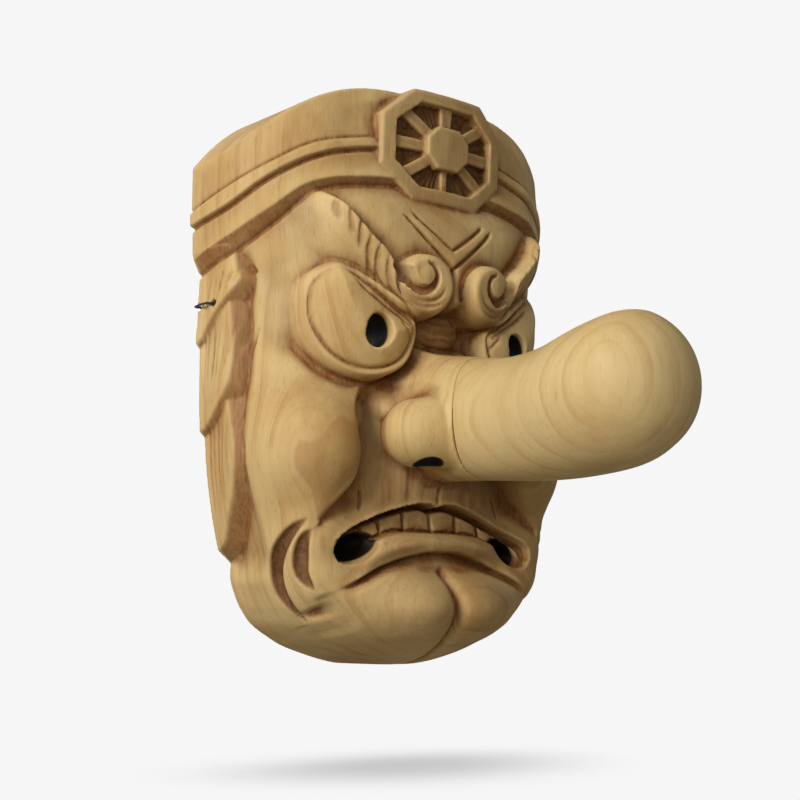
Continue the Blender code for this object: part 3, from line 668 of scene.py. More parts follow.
# the plate is browned all over and its sunk floor more: partly stain, partly painted shade
def ornament_stain_and_shade(points):
    x, y, z = np.abs(points[:, 0]), points[:, 1], points[:, 2] - ORNAMENT_Z
    depth = y - ornament_face(x, z)
    sunk = (octagon(x, z, *ORNAMENT_FLOOR) < 0.3) & (depth > 0.6) & (depth < 8)
    return np.where(sunk, 0.6 + 0.35 * ramp(depth, 1.6, 3.6), 0.4)


def seam(x):
    """Where the nose meets its root: the joint bows forward at the sides."""
    return SEAM_Y - SEAM_BOW * (x / 18) ** 2


def nose_flatness(y):
    """Width of the nose as a share of its height: it is round towards the tip."""
    return NOSE_FLATNESS + (1 - NOSE_FLATNESS) * smooth((-69 - y) / 50)


def nose_field(x, y, z):
    """Distance outside the nose, endless at both ends."""
    half_high, middle = (c[None, :, None] for c in along_curve(NOSE_SLICES, -y[0, :, 0]).T)
    flatness = nose_flatness(y)
    return (np.sqrt((x / flatness) ** 2 + (z - middle) ** 2) - half_high) * flatness


# Middle and radii
WING = ((20.0, -57.2, 75), (11.6, 12, 11.2))
NECK = ((14, -62, 76), (10, 9, 12))
NOSTRIL = ((18.8, -61.6, 64.4), (4.3, 4.8, 3.3))


def nose_root(field):
    """The stub that the nose plugs on to, its two wings, and the nostrils."""
    place, x, y, z = block((0, -80, 44), (44, -28, 124))
    wood = field[place]
    stub = np.maximum(nose_field(x, y, z), seam(x) - y)
    blend = 3.0 + 6.0 * ramp(z, 84, 96)
    wood = smooth_min(wood, stub, blend)
    wood = smooth_min(wood, ellipsoid(x, y, z, *WING), 0.9)
    wood = smooth_min(wood, ellipsoid(x, y, z, *NECK), 2.5)
    wood = np.maximum(wood, seam(x) - y)
    field[place] = smooth_max(wood, -ellipsoid(x, y, z, *NOSTRIL), 0.7)


MOUTH_HOLE, MOUTH_HALF_WIDTH, MOUTH_HALF_HEIGHT = (34.0, -42.0, 38.2), 8.6, 4.6
EYE_HOLE, EYE_HALF_WIDTH, EYE_HALF_HEIGHT = (31.0, 108.8), 4.9, 5.7


def mouth_hole(x, y, z):
    """The hole at the mouth's corner narrows as it goes in."""
    lean = math.radians(-24)
    dx, dz = x - MOUTH_HOLE[0] - 0.12 * (y - MOUTH_HOLE[1]), z - MOUTH_HOLE[2]
    u = dx * math.cos(lean) + dz * math.sin(lean)
    v = dz * math.cos(lean) - dx * math.sin(lean)
    narrow = 1 - 0.052 * clamp(y + 43, 0, 13)
    out = np.hypot(u / (MOUTH_HALF_WIDTH * narrow), v / (MOUTH_HALF_HEIGHT * narrow)) - 1
    return out * 4.5 * narrow


def eye_hole(x, y, z):
    across, up = (x - EYE_HOLE[0]) / EYE_HALF_WIDTH, (z - EYE_HOLE[1]) / EYE_HALF_HEIGHT
    return (np.hypot(across, up) - 1) * 5 + 0 * y


def openings(field):
    """Eye holes, mouth corners, the nose socket, and the holes and notches for the cord."""
    place, x, y, z = block((24, -70, 98), (40, -20, 120))
    field[place] = smooth_max(field[place], -eye_hole(x, y, z), 0.8)
    place, x, y, z = block((24, -70, 24), (60, -18, 50))
    field[place] = smooth_max(field[place], -mouth_hole(x, y, z), 0.8)
    place, x, y, z = block((0, -80, 66), (14, -44, 94))
    half = TENON_HALF + TENON_CLEARANCE
    socket = np.maximum(np.maximum(x - half, np.abs(z - TENON_Z) - half), y - SOCKET_END)
    field[place] = np.maximum(field[place], -socket)
    place, x, y, z = block((50, -16, 112), (74, 3, 126))
    cord_hole = np.hypot(y + 10.4, z - CORD_Z) - 1.2
    notch = np.maximum(np.abs(z - CORD_Z) - 1.0, -2.2 - y)
    field[place] = smooth_max(field[place], -np.minimum(cord_hole + 0 * x, notch + 0 * x), 0.4)


# Thickness of the wood, the size of a gouge mark, and the middle and radii of the places left thicker
WALL_SIDE, WALL_FRONT, WALL_CHIN = 9, 10, 8.5
GOUGE_WIDTH, GOUGE_LENGTH = 6.5, 24
THICK_PLACES = (((31, -43, 109), (24, 9, 22)), ((38, -33, 38), (20, 8, 14)))


def hollow_field():
    """The hollow back, left with long gouge marks and with thicker wood round the eyes and mouth."""
    hollow, _, _ = shell_field(WALL_SIDE, WALL_FRONT)
    row = np.floor(FRONT_X / GOUGE_WIDTH)
    along = (FRONT_Z + 11 * (row % 2)) / GOUGE_LENGTH
    across = (FRONT_X / GOUGE_WIDTH) % 1 - 0.5
    scoop = 0.9 * (1 - 4 * across**2) + 0.5 * (1 - 4 * ((along % 1) - 0.5) ** 2)
    rough = 0.4 * value_noise(FRONT_X.shape, 7 / VOXEL, 21)
    hollow = hollow + (0.9 - scoop + rough)[:, None, :].astype(np.float32)
    for centre, radii in THICK_PLACES:
        hollow = smooth_max(hollow, -ellipsoid(X, Y, Z, centre, radii), 5)
    hollow = smooth_max(hollow, Z - crown_height(X, WALL_SIDE), 2)
    return np.maximum(hollow, WALL_CHIN - Z)


def shell_volume():
    """The finished field, the hollow's own field, the front and side maps, and the crescent cuts."""
    field, across, ahead = shell_field()
    fade = clamp(-Y / 20) ** 2
    for centre, radii, height in SWELLINGS:
        bump = height * fade
        for side in (-1, 1):
            lobes = [np.exp(-(((a - c) / r) ** 2)) for a, c, r in
                     zip((X, Y, Z), (side * centre[0], *centre[1:]), radii)]
            field = field - bump * lobes[0] * lobes[1] * lobes[2]
    angle = np.degrees(np.arctan2(across, np.maximum(ahead, 1e-4))).astype(np.float32)
    front, side = front_relief(), side_relief()
    field = field - front.height[:, None, :] * facing_front(across, ahead)
    field = field - side.height[None, :, :] * facing_side(across)
    field = headband(field, angle)
    field = smooth_max(field, -0.3 - Z, 5.0)
    cuts = jaw_cuts(field)
    nose_root(field)
    ornament(field)
    hollow = hollow_field()
    field = smooth_max(field, -hollow, 1.2)
    openings(field)
    field = smooth_max(field, Z - crown_height(X), 0.6)
    return smooth_max(field, Y, 0.5), hollow, front, side, cuts


# The two crescent cuts outside the corner of the mouth: a line of (bearing from straight ahead in degrees,
# height), the cut's radius, and how far its tool lifts at both ends
JAW_CUTS = (
    (((49.5, 48.2), (56.0, 42.8), (61.4, 35.5), (63.2, 28.5), (61.8, 21.8), (56.8, 15), (51.5, 10.4)),
     3.0, 1.9),
    (((49.8, 44.2), (52.6, 40), (53.9, 34.6), (53.8, 29.6), (51.2, 25.4), (47.6, 21.8)), 2.6, 1.7),
)


def surface_path(field, turns):
    """Places on the carved surface for a line of bearings and heights."""
    reach = np.arange(20, 72, 0.2)
    path = []
    for bearing, z in curve_through(turns, 8):
        sideways, ahead = math.sin(math.radians(bearing)), math.cos(math.radians(bearing))
        place = grid_places(reach * sideways, -reach * ahead, np.full(reach.shape, z))
        solid = np.flatnonzero(sample(field, place) < 0)
        if len(solid):
            skin = reach[solid[-1]]
            path.append((skin * sideways, -skin * ahead, z))
    return np.array(path)


def round_cut(x, y, z, cut):
    """Distance outside a row of balls that swells from its ends to its middle."""
    path, radius, lift = cut
    away = np.full(np.broadcast(x, y, z).shape, 1e3, np.float32)
    for (px, py, pz), share in zip(path, np.linspace(0, 1, len(path))):
        full = clamp(math.sin(math.pi * min(share / 0.9, 1))) ** 0.6
        ball = np.sqrt((x - px) ** 2 + (y - py) ** 2 + (z - pz) ** 2)
        away = np.minimum(away, ball - radius * full + lift * (1 - full))
    return away


def jaw_cuts(field):
    place, x, y, z = block((26, -54, 2), (66, -8, 56))
    cuts = [(surface_path(field, turns), radius, lift) for turns, radius, lift in JAW_CUTS]
    for cut in cuts:
        field[place] = smooth_max(field[place], -round_cut(x, y, z, cut), 1.2)
    return cuts


def facing_front(across, ahead):
    """How much a place takes of the relief that is cut from the front."""
    return smooth((ahead - 0.34) / 0.3) * (1 - ramp(across, 0.93, 1.0) * 0.5)


def facing_side(across):
    return ramp(across, 0.62, 0.8)


def box_blur(volume, reach):
    """Mean of volume over cubes that reach this many samples either way."""
    out = volume.astype(np.float32)
    for axis in range(3):
        padded = np.pad(out, [(reach + 1, reach) if a == axis else (0, 0) for a in range(3)], mode="edge")
        total = np.cumsum(padded, axis, dtype=np.float64)
        size = out.shape[axis]
        high = np.take(total, np.arange(2 * reach + 1, 2 * reach + 1 + size), axis)
        low = np.take(total, np.arange(0, size), axis)
        out = ((high - low) / (2 * reach + 1)).astype(np.float32)
    return out


def grid_places(x, y, z):
    """Fractional places in the sculpting block."""
    return [(a - axis[0]) / VOXEL for a, axis in zip((x, y, z), (XS, YS, ZS))]


def sample(grid, places):
    """Values of a grid at fractional places, one array of them per axis, blended from the nearest corners."""
    low = [np.clip(np.floor(p).astype(int), 0, n - 2) for p, n in zip(places, grid.shape)]
    part = [clamp(p - a) for p, a in zip(places, low)]
    out = 0.0
    for corner in np.ndindex(*(2,) * grid.ndim):
        weight = 1.0
        for c, t in zip(corner, part):
            weight = weight * (t if c else 1 - t)
        out = out + weight * grid[tuple(a + c for a, c in zip(low, corner))]
    return out


def colour_hints(points, wood, hollow, front, side, cuts):
    """Per-vertex hints for the finish: recesses, cuts browned with stain and painted shade, holes painted
    near black as shade, and the inside.
    """
    x, y, z = np.abs(points[:, 0]), points[:, 1], points[:, 2]
    place = grid_places(x, y, z)
    tight = sample(box_blur(wood, round(1.8 / VOXEL)), place) - 0.5
    broad = sample(box_blur(wood, round(5.5 / VOXEL)), place) - 0.5
    inside = 1 - ramp(sample(hollow, place), 0.8, 1.8)
    inside = np.maximum(inside, ramp(y, -1.2, -0.4))
    wide, deep, _ = along_curve(SLICES, z).T
    across, ahead = x / wide, np.maximum(-y, 0) / deep
    stain_and_shade = sample(front.stain_and_shade, (place[0], place[2])) * facing_front(across, ahead)
    beside_nose = (x < 34) & (z > 60) & (z < 98)
    stain_and_shade *= np.where(beside_nose, ramp(y, -57, -51), ramp(y, -64, -61))
    stain_and_shade = np.maximum(stain_and_shade, sample(side.stain_and_shade, place[1:]) * facing_side(across))
    # the crescent cuts are browned nearly to black: partly stain, partly painted shade
    jaw = (x > 24) & (z < 58) & (y < -6)
    for cut in cuts:
        away = round_cut(x[jaw], y[jaw], z[jaw], cut)
        stain_and_shade[jaw] = np.maximum(stain_and_shade[jaw], 0.97 * ramp(-away, -1.0, 0.1))
    angle = np.degrees(np.arctan2(across, np.maximum(ahead, 1e-4)))
    plate = (octagon(x, z - ORNAMENT_Z, *ORNAMENT_EDGE) < 0.5) & (y < -30)
    stain_and_shade = np.maximum(stain_and_shade, np.where(plate, ornament_stain_and_shade(points), headband_stain_and_shade(angle, z)))
    outside = 1 - inside
    # painted shade: the walls of the eye holes, the mouth's corner holes and the nostrils, and the darkest
    # cuts, go near black
    in_eye = (1 - ramp(eye_hole(x, y, z), 0.3, 0.9)) * ramp(y, -50.6, -49.4) * (y < -25)
    in_mouth = 1 - ramp(mouth_hole(x, y, z), 0.3, 0.9)
    in_mouth *= ramp(y - 0.3 * (x - MOUTH_HOLE[0]), -41.2, -40.2) * (y < -24)
    in_nostril = 1 - ramp(np.abs(ellipsoid(x, y, z, *NOSTRIL)), 0.2, 0.7)
    deep_shade = np.maximum.reduce([in_eye, in_mouth, in_nostril, 0.55 * ramp(stain_and_shade, 0.86, 1.0) * outside])
    return {"tight": tight, "broad": broad, "stain_and_shade": stain_and_shade * outside, "inside": inside, "deep_shade": deep_shade}


def mesh_object(name, points, faces, surface, attributes=None):
    """A smooth-shaded object from arrays, with one value per vertex for each attribute."""
    mesh = bpy.data.meshes.new(name)
    mesh.vertices.add(len(points))
    mesh.vertices.foreach_set("co", np.ascontiguousarray(points, np.float32).ravel())
    corners = faces.shape[1]
    mesh.loops.add(faces.size)
    mesh.loops.foreach_set("vertex_index", faces.ravel().astype(np.int32))
    mesh.polygons.add(len(faces))
    mesh.polygons.foreach_set("loop_start", np.arange(0, faces.size, corners, dtype=np.int32))
    mesh.update(calc_edges=True)
    mesh.validate()
    mesh.shade_smooth()
    for key, values in (attributes or {}).items():
        layer = mesh.attributes.new(key, "FLOAT", "POINT")
        layer.data.foreach_set("value", values.astype(np.float32))
    mesh.materials.append(surface)
    obj = bpy.data.objects.new(name, mesh)
    bpy.context.scene.collection.objects.link(obj)
    return obj


def to_row_frame(points):
    return points * UNIT + np.array(ORIGIN)


def hand_drift(points):
    """The two halves were carved by hand, so they differ a little."""
    place = ((points[:, 0] + 74) / 20, (points[:, 1] + 80) / 18, (points[:, 2] + 3) / 19)
    drift = [sample(value_noise((9, 6, 12), 1.7, seed), place) for seed in (41, 42)]
    calm = ramp(points[:, 1], -64, -50)
    calm *= 1 - np.exp(-(((np.abs(points[:, 0]) - 68) / 8) ** 2 + ((points[:, 2] - 119) / 8) ** 2))
    moved = points.copy()
    moved[:, 0] += 0.5 * drift[0] * calm
    moved[:, 2] += 0.5 * drift[1] * calm * ramp(points[:, 2], 1, 12) * (1 - ramp(points[:, 2], 180, 193))
    return moved


def carved_shell(surface):
    half, hollow, front, side, cuts = shell_volume()
    full = np.concatenate([half[:0:-1], half])
    grid = openvdb.FloatGrid()
    grid.copyFromArray(clamp(full, -2, 2).astype(np.float32), tolerance=0)
    points, faces = grid.convertToQuads(isovalue=0)
    points = points * VOXEL + np.array([-XS[-1], YS[0], ZS[0]])
    hints = colour_hints(points, (half < 0).astype(np.float32), hollow, front, side, cuts)
    return mesh_object("mask_shell_carving", to_row_frame(hand_drift(points)), faces, surface, hints)


# ---------------------------------------------------------------- the nose

NOSE_TIP = -150.0
NOSE_ROUNDING = 24.0


def nose_club(surface):
    """A loft from the bowed seam to the rounded tip, with a square tenon behind it."""
    around, along = 192, 150
    turn = np.linspace(0, 2 * np.pi, around, endpoint=False)
    share = np.linspace(0, 1, along)
    start = SEAM_Y - SEAM_GAP
    reach = start + (NOSE_TIP - start) * np.sin(share * np.pi / 2) ** 0.9
    half_high, middle = along_curve(NOSE_SLICES, -reach).T
    gap = clamp((NOSE_TIP + NOSE_ROUNDING - reach) / NOSE_ROUNDING)
    half_high = half_high * (1 - gap**2.3) ** (1 / 2.3)
    flatness = nose_flatness(reach)
    lumps = 0.18 * value_noise((along, around), 16, 31)
    lumps *= ramp(share, 0.02, 0.15)[:, None] * np.abs(np.sin(turn / 2))[None, :] ** 0.2
    high = half_high[:, None] + lumps * (half_high > 4)[:, None]
    edge = 0.4 * (1 - ramp(share, 0, 0.012))[:, None]
    x = (high - edge) * flatness[:, None] * np.cos(turn)
    z = middle[:, None] + (high - edge) * np.sin(turn)
    bow = SEAM_BOW * (x / 18) ** 2 * (1 - ramp(share, 0, 0.35))[:, None]
    y = np.broadcast_to(reach[:, None], x.shape) - bow
    points = np.stack([x, y, z], -1).reshape(-1, 3)
    starts = np.arange(along) * around
    points, faces = close_back(points, tube_faces(starts, around), around)
    points = np.vstack([points, [(0, NOSE_TIP, middle[-1])]])
    ring = np.arange(around)
    tip = np.full(around, len(points) - 1)
    obj = mesh_object("nose_club", to_row_frame(points), faces, surface)
    add_triangles(obj, np.stack([starts[-1] + ring, starts[-1] + (ring + 1) % around, tip], -1))
    return obj


def tube_faces(starts, around):
    """Quads between rings of points that begin at these indices."""
    j = np.arange(around)
    after = (j + 1) % around
    return np.vstack([np.stack([a + j, a + after, b + after, b + j], -1) for a, b in zip(starts, starts[1:])])


def close_back(points, faces, around):
    """Rings that close the back of the nose: in to a square, then back along the tenon."""
    turn = np.linspace(0, 2 * np.pi, around, endpoint=False)
    square = TENON_HALF / np.maximum(np.abs(np.cos(turn)), np.abs(np.sin(turn)))
    corner = np.stack([square * np.cos(turn), np.zeros(around), TENON_Z + square * np.sin(turn)], -1)
    rings = []
    for share in (0.5, 1.0):
        ring = points[:around] * (1 - share) + corner * share
        ring[:, 1] = SEAM_Y - SEAM_GAP - SEAM_BOW * (ring[:, 0] / 18) ** 2
        rings.append(ring)
    # distance in front of the tenon's end, and how much of its full size the ring has
    for ahead, size in ((11, 1), (1, 1), (0.2, 0.97), (0, 0.92), (0, 0.0)):
        ring = corner.copy()
        ring[:, 0] *= size
        ring[:, 2] = TENON_Z + (ring[:, 2] - TENON_Z) * size
        ring[:, 1] = TENON_END - ahead
        rings.append(ring)
    starts = [0] + [len(points) + k * around for k in range(len(rings))]
    extra = tube_faces(starts, around)[:, ::-1]
    return np.vstack([points] + rings), np.vstack([faces, extra])


def add_triangles(obj, triangles):
    """Close a mesh with triangles, join its doubled points and mark its sharp edges."""
    bm = bmesh.new()
    bm.from_mesh(obj.data)
    bm.verts.ensure_lookup_table()
    for tri in triangles:
        face = bm.faces.new([bm.verts[int(v)] for v in tri])
        face.smooth = True
    bmesh.ops.remove_doubles(bm, verts=bm.verts, dist=1e-6)
    bmesh.ops.recalc_face_normals(bm, faces=bm.faces)
    bm.to_mesh(obj.data)
    bm.free()
    obj.data.set_sharp_from_angle(angle=math.radians(40))


# ---------------------------------------------------------------- the cord

CORD_RADIUS = 0.52
CORD_OUTSIDE, CORD_INSIDE = 69.6, 53.8
KNOT = (50.5, -3.4)
KNOT_RADIUS = 2.0


STRANDS = 2
AROUND_STRAND = 10
STRAND_STEP = 0.28


def twisted(path, radius, closed, pitch=4.2):
    """Points and faces of strands twisted round a path, all in one mesh."""
    line = curve_through(path, 10, closed)
    if closed:
        line = line[:-1]
    gaps = np.linalg.norm(np.roll(line, -1, 0) - line, axis=1)
    walked = np.concatenate([[0], np.cumsum(gaps)])
    length = walked[-1] if closed else walked[-2]
    turns = max(1, round(length / pitch))
    steps = int(length / STRAND_STEP)
    at = np.linspace(0, length, steps, endpoint=not closed)
    source = np.vstack([line, line[:1]]) if closed else line
    marks = walked if closed else walked[:-1]
    centre = np.stack([np.interp(at, marks, source[:, k]) for k in range(3)], -1)
    ahead = np.roll(centre, -1, 0) - np.roll(centre, 1, 0)
    if not closed:
        ahead[0], ahead[-1] = centre[1] - centre[0], centre[-1] - centre[-2]
    ahead /= np.linalg.norm(ahead, axis=1)[:, None]
    up = np.array([0.0, 0.35, 1.0]) if closed else np.array([0.0, 1.0, 0.0])
    side = np.cross(ahead, up)
    side /= np.linalg.norm(side, axis=1)[:, None]
    up = np.cross(side, ahead)
    turn = np.linspace(0, 2 * np.pi, AROUND_STRAND, endpoint=False)
    points, faces = [], []
    for s in range(STRANDS):
        phase = 2 * np.pi * (turns * at / length + s / STRANDS)
        heart = centre + radius * 0.46 * (np.cos(phase)[:, None] * side + np.sin(phase)[:, None] * up)
        ring = heart[:, None] + radius * 0.56 * (np.cos(turn)[None, :, None] * side[:, None]
                                                 + np.sin(turn)[None, :, None] * up[:, None])
        points.append(ring.reshape(-1, 3))
        starts = s * steps * AROUND_STRAND + np.arange(steps) * AROUND_STRAND
        faces.append(tube_faces(np.append(starts, starts[0]) if closed else starts, AROUND_STRAND))
    return np.vstack(points), np.vstack(faces)


def knot_points(centre, radius):
    """A trefoil of cord pulled tight into a ball."""
    t = np.linspace(0, 2 * np.pi, 60, endpoint=False)
    scale = radius * 0.27
    x = scale * (np.sin(t) + 2 * np.sin(2 * t))
    y = scale * (np.cos(t) - 2 * np.cos(2 * t))
    z = -scale * 1.5 * np.sin(3 * t)
    return np.stack([centre[0] + x * 0.8, centre[1] + y * 0.62, centre[2] + z], -1)


def cord_pieces(surface):
    """The two loops with their knots, and the slack length between the knots: (object, node, body)."""
    made = []
    for side, tag in ((-1, "left"), (1, "right")):
        out = CORD_OUTSIDE
        corners = [(CORD_INSIDE, -10), (out - 3, -10), (out, -9.2), (out + 0.5, -5.6), (out, -2.2),
                   (out - 1.6, -1.1), (KNOT[0] + 3, -1.1), KNOT]
        path = [(side * x, y, CORD_Z) for x, y in corners]
        points, faces = twisted(path, CORD_RADIUS, True)
        tied = knot_points((side * KNOT[0], KNOT[1], CORD_Z), KNOT_RADIUS)
        more, more_faces = twisted(tied, CORD_RADIUS, True, pitch=3)
        points, faces = np.vstack([points, more]), np.vstack([faces, more_faces + len(points)])
        loop = mesh_object(f"cord_loop_{tag}_thread", to_row_frame(points), faces, surface)
        made.append((loop, f"cord_loop_{tag}", "shell"))
    reach, lift = KNOT[0] - 3.0, (CORD_HIGH.z - CORD_LOW.z) / UNIT - 1.6
    path = [(reach * s, KNOT[1], CORD_Z + lift * (1 - abs(s) ** 1.6)) for s in np.linspace(-1, 1, 25)]
    points, faces = twisted(path, CORD_RADIUS, False)
    span = mesh_object("hanging_cord_thread", to_row_frame(points), faces, surface)
    made.append((span, "hanging_cord", "cord"))
    return made


# ---------------------------------------------------------------- materials

class Nodes:
    """Short-hand for building a material's node tree."""

    def __init__(self, name):
        self.material = bpy.data.materials.new(name)
        self.material.use_nodes = True
        self.tree = self.material.node_tree
        self.shader = self.tree.nodes["Principled BSDF"]

    def add(self, kind, inputs=None, **settings):
        node = self.tree.nodes.new(kind)
        for key, value in settings.items():
            setattr(node, key, value)
        for key, value in (inputs or {}).items():
            self.set(node.inputs[key], value)
        return node

    def set(self, socket, value):
        if isinstance(value, bpy.types.NodeSocket):
            self.tree.links.new(value, socket)
        elif isinstance(value, bpy.types.Node):
            self.tree.links.new(value.outputs[0], socket)
        else:
            socket.default_value = value

    def math(self, operation, *values, clamped=False):
        node = self.tree.nodes.new("ShaderNodeMath")
        node.operation = operation
        node.use_clamp = clamped
        for socket, value in zip(node.inputs, values):
            self.set(socket, value)
        return node.outputs[0]

    def times(self, *values):
        product = values[0]
        for value in values[1:]:
            product = self.math("MULTIPLY", product, value)
        return product

    def remap(self, value, low, high, to_low=0.0, to_high=1.0):
        node = self.add("ShaderNodeMapRange", {"Value": value, "From Min": low, "From Max": high,
                                               "To Min": to_low, "To Max": to_high})
        node.interpolation_type = "SMOOTHSTEP"
        return node.outputs[0]

    def mix(self, share, first, second):
        node = self.tree.nodes.new("ShaderNodeMix")
        node.data_type = "RGBA"
        self.set(node.inputs[0], share)
        self.set(node.inputs[6], first)
        self.set(node.inputs[7], second)
        return node.outputs[2]

    def noise(self, vector, scale, detail=2.0, rough=0.5):
        return self.add("ShaderNodeTexNoise", {"Vector": vector, "Scale": scale, "Detail": detail,
                                               "Roughness": rough}).outputs[0]

    def stretched(self, vector, scale, shift=(0, 0, 0)):
        return self.add("ShaderNodeMapping", {"Vector": vector, "Scale": scale, "Location": shift}).outputs[0]

    def wandering(self, place, along, scale, reach):
        """Noise centred on 0, drawn out along z, that moves a pattern this far in metres."""
        noise = self.noise(self.stretched(place, (1, 1, along)), scale, 2)
        return self.times(self.math("SUBTRACT", noise, 0.5), reach)

    def ring_lines(self, depth, spacing, start):
        """1 just before each ring's edge: growth darkens slowly and stops sharply."""
        phase = self.math("FRACT", self.math("DIVIDE", depth, spacing))
        return self.times(self.remap(phase, start, 0.95), self.remap(phase, 0.95, 1.0, 1.0, 0.0))

    def bump(self, height, strength, distance):
        bump = self.add("ShaderNodeBump", {"Height": height, "Strength": strength, "Distance": distance})
        self.set(self.shader.inputs["Normal"], bump)


def tint(*channels):
    """A colour given as the eye sees it (0 to 255), for a node that works in linear light."""
    return tuple((c / 255) ** 2.2 for c in channels) + (1.0,)


def wood(name, light, middle, dark, ring, ring_spacing, carved, seed):
    """Bare wood: growth rings across y, fibres along z and pores, browned with stain and painted shade if it
    is carved.
    """
    n = Nodes(name)
    place = n.add("ShaderNodeTexCoord").outputs["Object"]
    place = n.stretched(place, (1, 1, 1), (seed, seed * 0.37, seed * 0.61))
    split = n.add("ShaderNodeSeparateXYZ", {"Vector": place})
    x, y = split.outputs[0], split.outputs[1]
    depth = y
    bends = n.times(x, x, 1.1), n.wandering(place, 0.45, 20, 0.030), n.wandering(place, 0.3, 90, 0.0028)
    for bend in bends:
        depth = n.math("ADD", depth, bend)
    line = n.ring_lines(depth, ring_spacing, 0.62)
    fine = n.ring_lines(depth, ring_spacing / 3.1, 0.6)
    patches = n.noise(n.stretched(place, (1, 1, 0.5)), 30, 4, 0.6)
    fibre = n.noise(n.stretched(place, (1100, 1100, 130)), 1.0, 3, 0.6)
    streak = n.noise(n.stretched(place, (300, 300, 16)), 1.0, 2, 0.5)
    speck = n.noise(place, 1300, 2, 0.6)
    fades = n.remap(n.noise(place, 34, 1), 0.3, 0.65, 0.15, 1.0)
    colour = n.mix(n.remap(patches, 0.34, 0.7), light, middle)
    colour = n.mix(n.times(line, 0.36, fades), colour, ring)
    colour = n.mix(n.times(fine, 0.14, fades), colour, ring)
    colour = n.mix(n.remap(streak, 0.5, 0.75, 0, 0.2), colour, middle)
    colour = n.mix(n.remap(fibre, 0.52, 0.8, 0, 0.3), colour, dark)
    colour = n.mix(n.remap(speck, 0.55, 0.85, 0, 0.2), colour, dark)
    if carved:
        colour = aged(n, place, colour, light, fibre, streak)
    n.set(n.shader.inputs["Base Color"], colour)
    sheen = n.noise(place, 60, 3)
    matt, dull = (0.55, 0.74) if carved else (0.46, 0.6)
    n.set(n.shader.inputs["Roughness"], n.remap(sheen, 0.3, 0.7, matt, dull))
    n.shader.inputs["Specular IOR Level"].default_value = 0.35
    tool = n.noise(n.stretched(place, (170, 170, 80)), 1.0, 2)
    height = n.math("ADD", n.times(fibre, -0.5), n.times(tool, 1.0 if carved else 0.4))
    height = n.math("ADD", height, n.times(line, -0.25))
    n.bump(height, 0.34 if carved else 0.18, 0.0005)
    return n.material


def aged(n, place, colour, light, fibre, streak):
    """Brown in the cuts and recesses, partly patina and partly painted shade, worn edges, a raw inside and
    holes painted near black as shade.
    """
    tight, broad, stain_and_shade, inside, deep_shade = (
        n.add("ShaderNodeAttribute", attribute_name=key).outputs["Fac"]
        for key in ("tight", "broad", "stain_and_shade", "inside", "deep_shade"))
    patchiness = n.noise(n.stretched(place, (1, 1, 0.6)), 150, 4, 0.65)
    # painted shade in the hollows: browner where the wood is sunk among its surroundings, near and far,
    # partly also patina
    recess = n.math("ADD", n.remap(tight, 0.0, 0.16, 0, 0.7), n.remap(broad, -0.08, 0.16, 0, 0.95),
                    clamped=True)
    recess = n.times(recess, n.remap(patchiness, 0.25, 0.7, 0.65, 1.1))
    cut = n.times(stain_and_shade, n.remap(patchiness, 0.2, 0.75, 0.82, 1.05))
    cut = n.math("MAXIMUM", recess, cut, clamped=True)
    brown = n.mix(n.remap(fibre, 0.35, 0.7), tint(134, 82, 40), tint(96, 55, 24))
    colour = n.mix(n.times(cut, 0.9), colour, brown)
    colour = n.mix(n.remap(tight, -0.2, -0.05, 0.35, 0.0), colour, light)
    raw = n.mix(n.remap(streak, 0.35, 0.7), tint(186, 148, 98), tint(158, 116, 70))
    colour = n.mix(n.times(inside, 0.75), colour, raw)
    # painted shade: holes and the darkest cuts are painted near black
    return n.mix(deep_shade, colour, tint(22, 14, 9))


def thread():
    n = Nodes("black_thread")
    place = n.add("ShaderNodeTexCoord").outputs["Object"]
    fuzz = n.noise(place, 4000, 3, 0.7)
    n.set(n.shader.inputs["Base Color"], n.mix(fuzz, tint(18, 16, 15), tint(52, 47, 42)))
    n.shader.inputs["Roughness"].default_value = 0.85
    n.shader.inputs["Sheen Weight"].default_value = 0.3
    n.bump(fuzz, 0.5, 0.0002)
    return n.material


# ---------------------------------------------------------------- stage, lights and camera

BACKDROP = tint(246, 246, 246)
# colour of the painted shadow on the floor
FLOOR_SHADE = tint(196, 196, 196)
# The light that the surroundings and the floor throw on the mask
AIR_GLOW = (0.12, 0.118, 0.10, 1)
FLOOR_GLOW = (0.24, 0.21, 0.16, 1)
FLOOR_SIZE, FLOOR_DROP = 30.0, 34


def aim(obj, target):
    obj.rotation_mode = "QUATERNION"
    obj.rotation_quaternion = (Vector(target) - obj.location).to_track_quat("-Z", "Y")


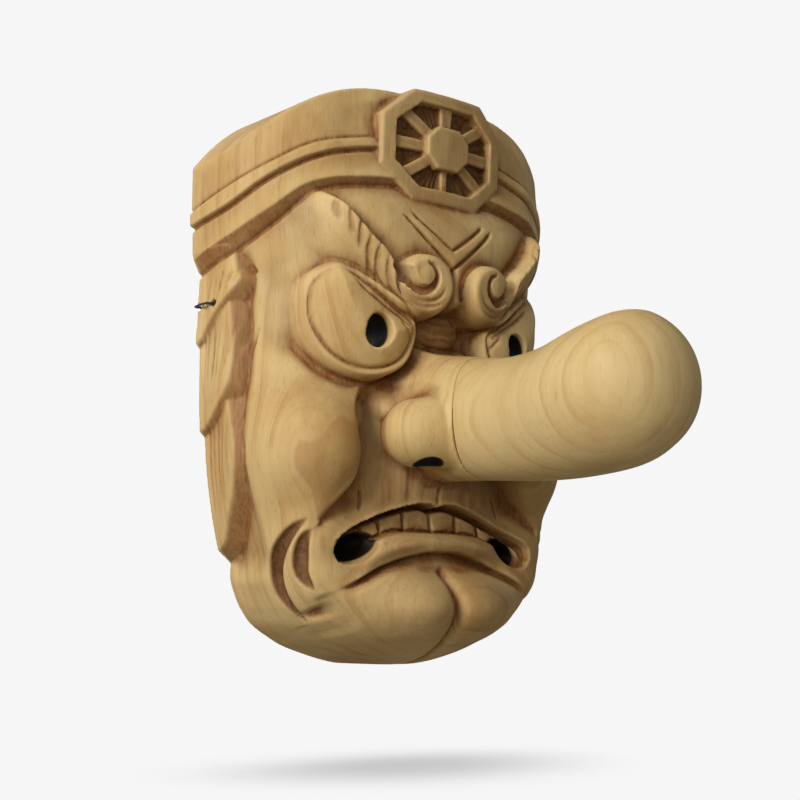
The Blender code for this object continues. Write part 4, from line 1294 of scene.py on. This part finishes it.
def stage():
    """A pale floor just under the mask that fades into a pale, even surrounding, with a painted shadow under
    the mask.
    """
    world = bpy.data.worlds.new("studio")
    bpy.context.scene.world = world
    world.use_nodes = True
    tree = world.node_tree
    rays = tree.nodes.new("ShaderNodeLightPath")
    pick = tree.nodes.new("ShaderNodeMix")
    pick.data_type = "RGBA"
    pick.inputs[6].default_value = AIR_GLOW
    pick.inputs[7].default_value = BACKDROP
    tree.links.new(rays.outputs["Is Camera Ray"], pick.inputs[0])
    tree.links.new(pick.outputs[2], tree.nodes["Background"].inputs["Color"])
    n = Nodes("pale_floor")
    # painted shadow: the floor's glow darkens to FLOOR_SHADE where the mask is close above it, by ambient
    # occlusion rather than by the lamps
    near = n.add("ShaderNodeAmbientOcclusion", {"Distance": 0.075})
    near.samples = 24
    seen = n.mix(n.remap(near.outputs["AO"], 0.55, 0.97), FLOOR_SHADE, BACKDROP)
    rays = n.add("ShaderNodeLightPath").outputs["Is Camera Ray"]
    glow = n.add("ShaderNodeEmission", {"Color": n.mix(rays, FLOOR_GLOW, seen), "Strength": 1.0})
    n.tree.links.new(glow.outputs[0], n.tree.nodes["Material Output"].inputs["Surface"])
    z = ORIGIN.z - FLOOR_DROP * UNIT
    mesh = bpy.data.meshes.new("studio_floor")
    corners = [(x * FLOOR_SIZE, y * FLOOR_SIZE, z) for x, y in ((-1, -1), (1, -1), (1, 1), (-1, 1))]
    mesh.from_pydata(corners, [], [(0, 1, 2, 3)])
    mesh.materials.append(n.material)
    floor = bpy.data.objects.new("studio_floor", mesh)
    bpy.context.scene.collection.objects.link(floor)


# Lamps round the mask: azimuth from straight ahead, elevation, distance, size, power, colour
LAMPS = {
    "key": (-74, 18, 1.1, 0.45, 10.6, (1.0, 0.965, 0.90)),
    "top": (-50, 62, 1.2, 0.6, 1.6, (1.0, 0.96, 0.88)),
    "fill": (-40, 10, 1.5, 0.5, 3.0, (1.0, 0.97, 0.90)),
    "side": (95, 25, 1.3, 0.9, 0.9, (1.0, 0.98, 0.80)),
    "back_fill": (190, 30, 1.5, 1.2, 7.0, (1.0, 0.98, 0.95)),
}
LAMP_TARGET = Vector((0, -0.04, 0.09))


def direction(azimuth, elevation):
    """A unit vector at these angles in degrees, with azimuth 0 straight ahead of the face."""
    a, e = math.radians(azimuth), math.radians(elevation)
    return Vector((math.sin(a) * math.cos(e), -math.cos(a) * math.cos(e), math.sin(e)))


def place_round(name, data, target, azimuth, elevation, distance):
    """An object with this data, looking at the target from a distance."""
    obj = bpy.data.objects.new(name, data)
    obj.location = target + direction(azimuth, elevation) * distance
    bpy.context.scene.collection.objects.link(obj)
    aim(obj, target)
    return obj


def lights():
    for name, (azimuth, elevation, distance, size, power, colour) in LAMPS.items():
        data = bpy.data.lights.new(name, "AREA")
        data.size, data.energy, data.color = size, power, colour
        place_round(name, data, LAMP_TARGET, azimuth, elevation, distance)


def camera():
    """Low and to the mask's left, looking slightly up at it."""
    data = bpy.data.cameras.new("camera")
    data.sensor_width = 36
    data.lens = 67.5
    data.clip_start, data.clip_end = 0.01, 100
    target = Vector((-8.33, -35, 89.28)) * UNIT + ORIGIN
    bpy.context.scene.camera = place_round("camera", data, target, -40, -8, 513 * UNIT)
    bpy.context.scene.view_settings.view_transform = "Standard"


def dress(obj, node, body):
    """Put an object on a body in place of its CAD node."""
    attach(obj, body)
    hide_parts(node)


def build():
    carved = wood("carved_wood", tint(206, 180, 128), tint(186, 152, 99), tint(134, 92, 48),
                  tint(150, 100, 50), 0.0085, True, 0.0)
    smooth_wood = wood("nose_wood", tint(208, 184, 134), tint(192, 162, 108), tint(152, 112, 64),
                       tint(170, 124, 66), 0.0130, False, 0.7)
    cord = thread()
    dress(carved_shell(carved), "mask_shell", "shell")
    dress(nose_club(smooth_wood), "nose", "nose")
    for piece, node, body in cord_pieces(cord):
        dress(piece, node, body)
    stage()
    lights()
    camera()


build()
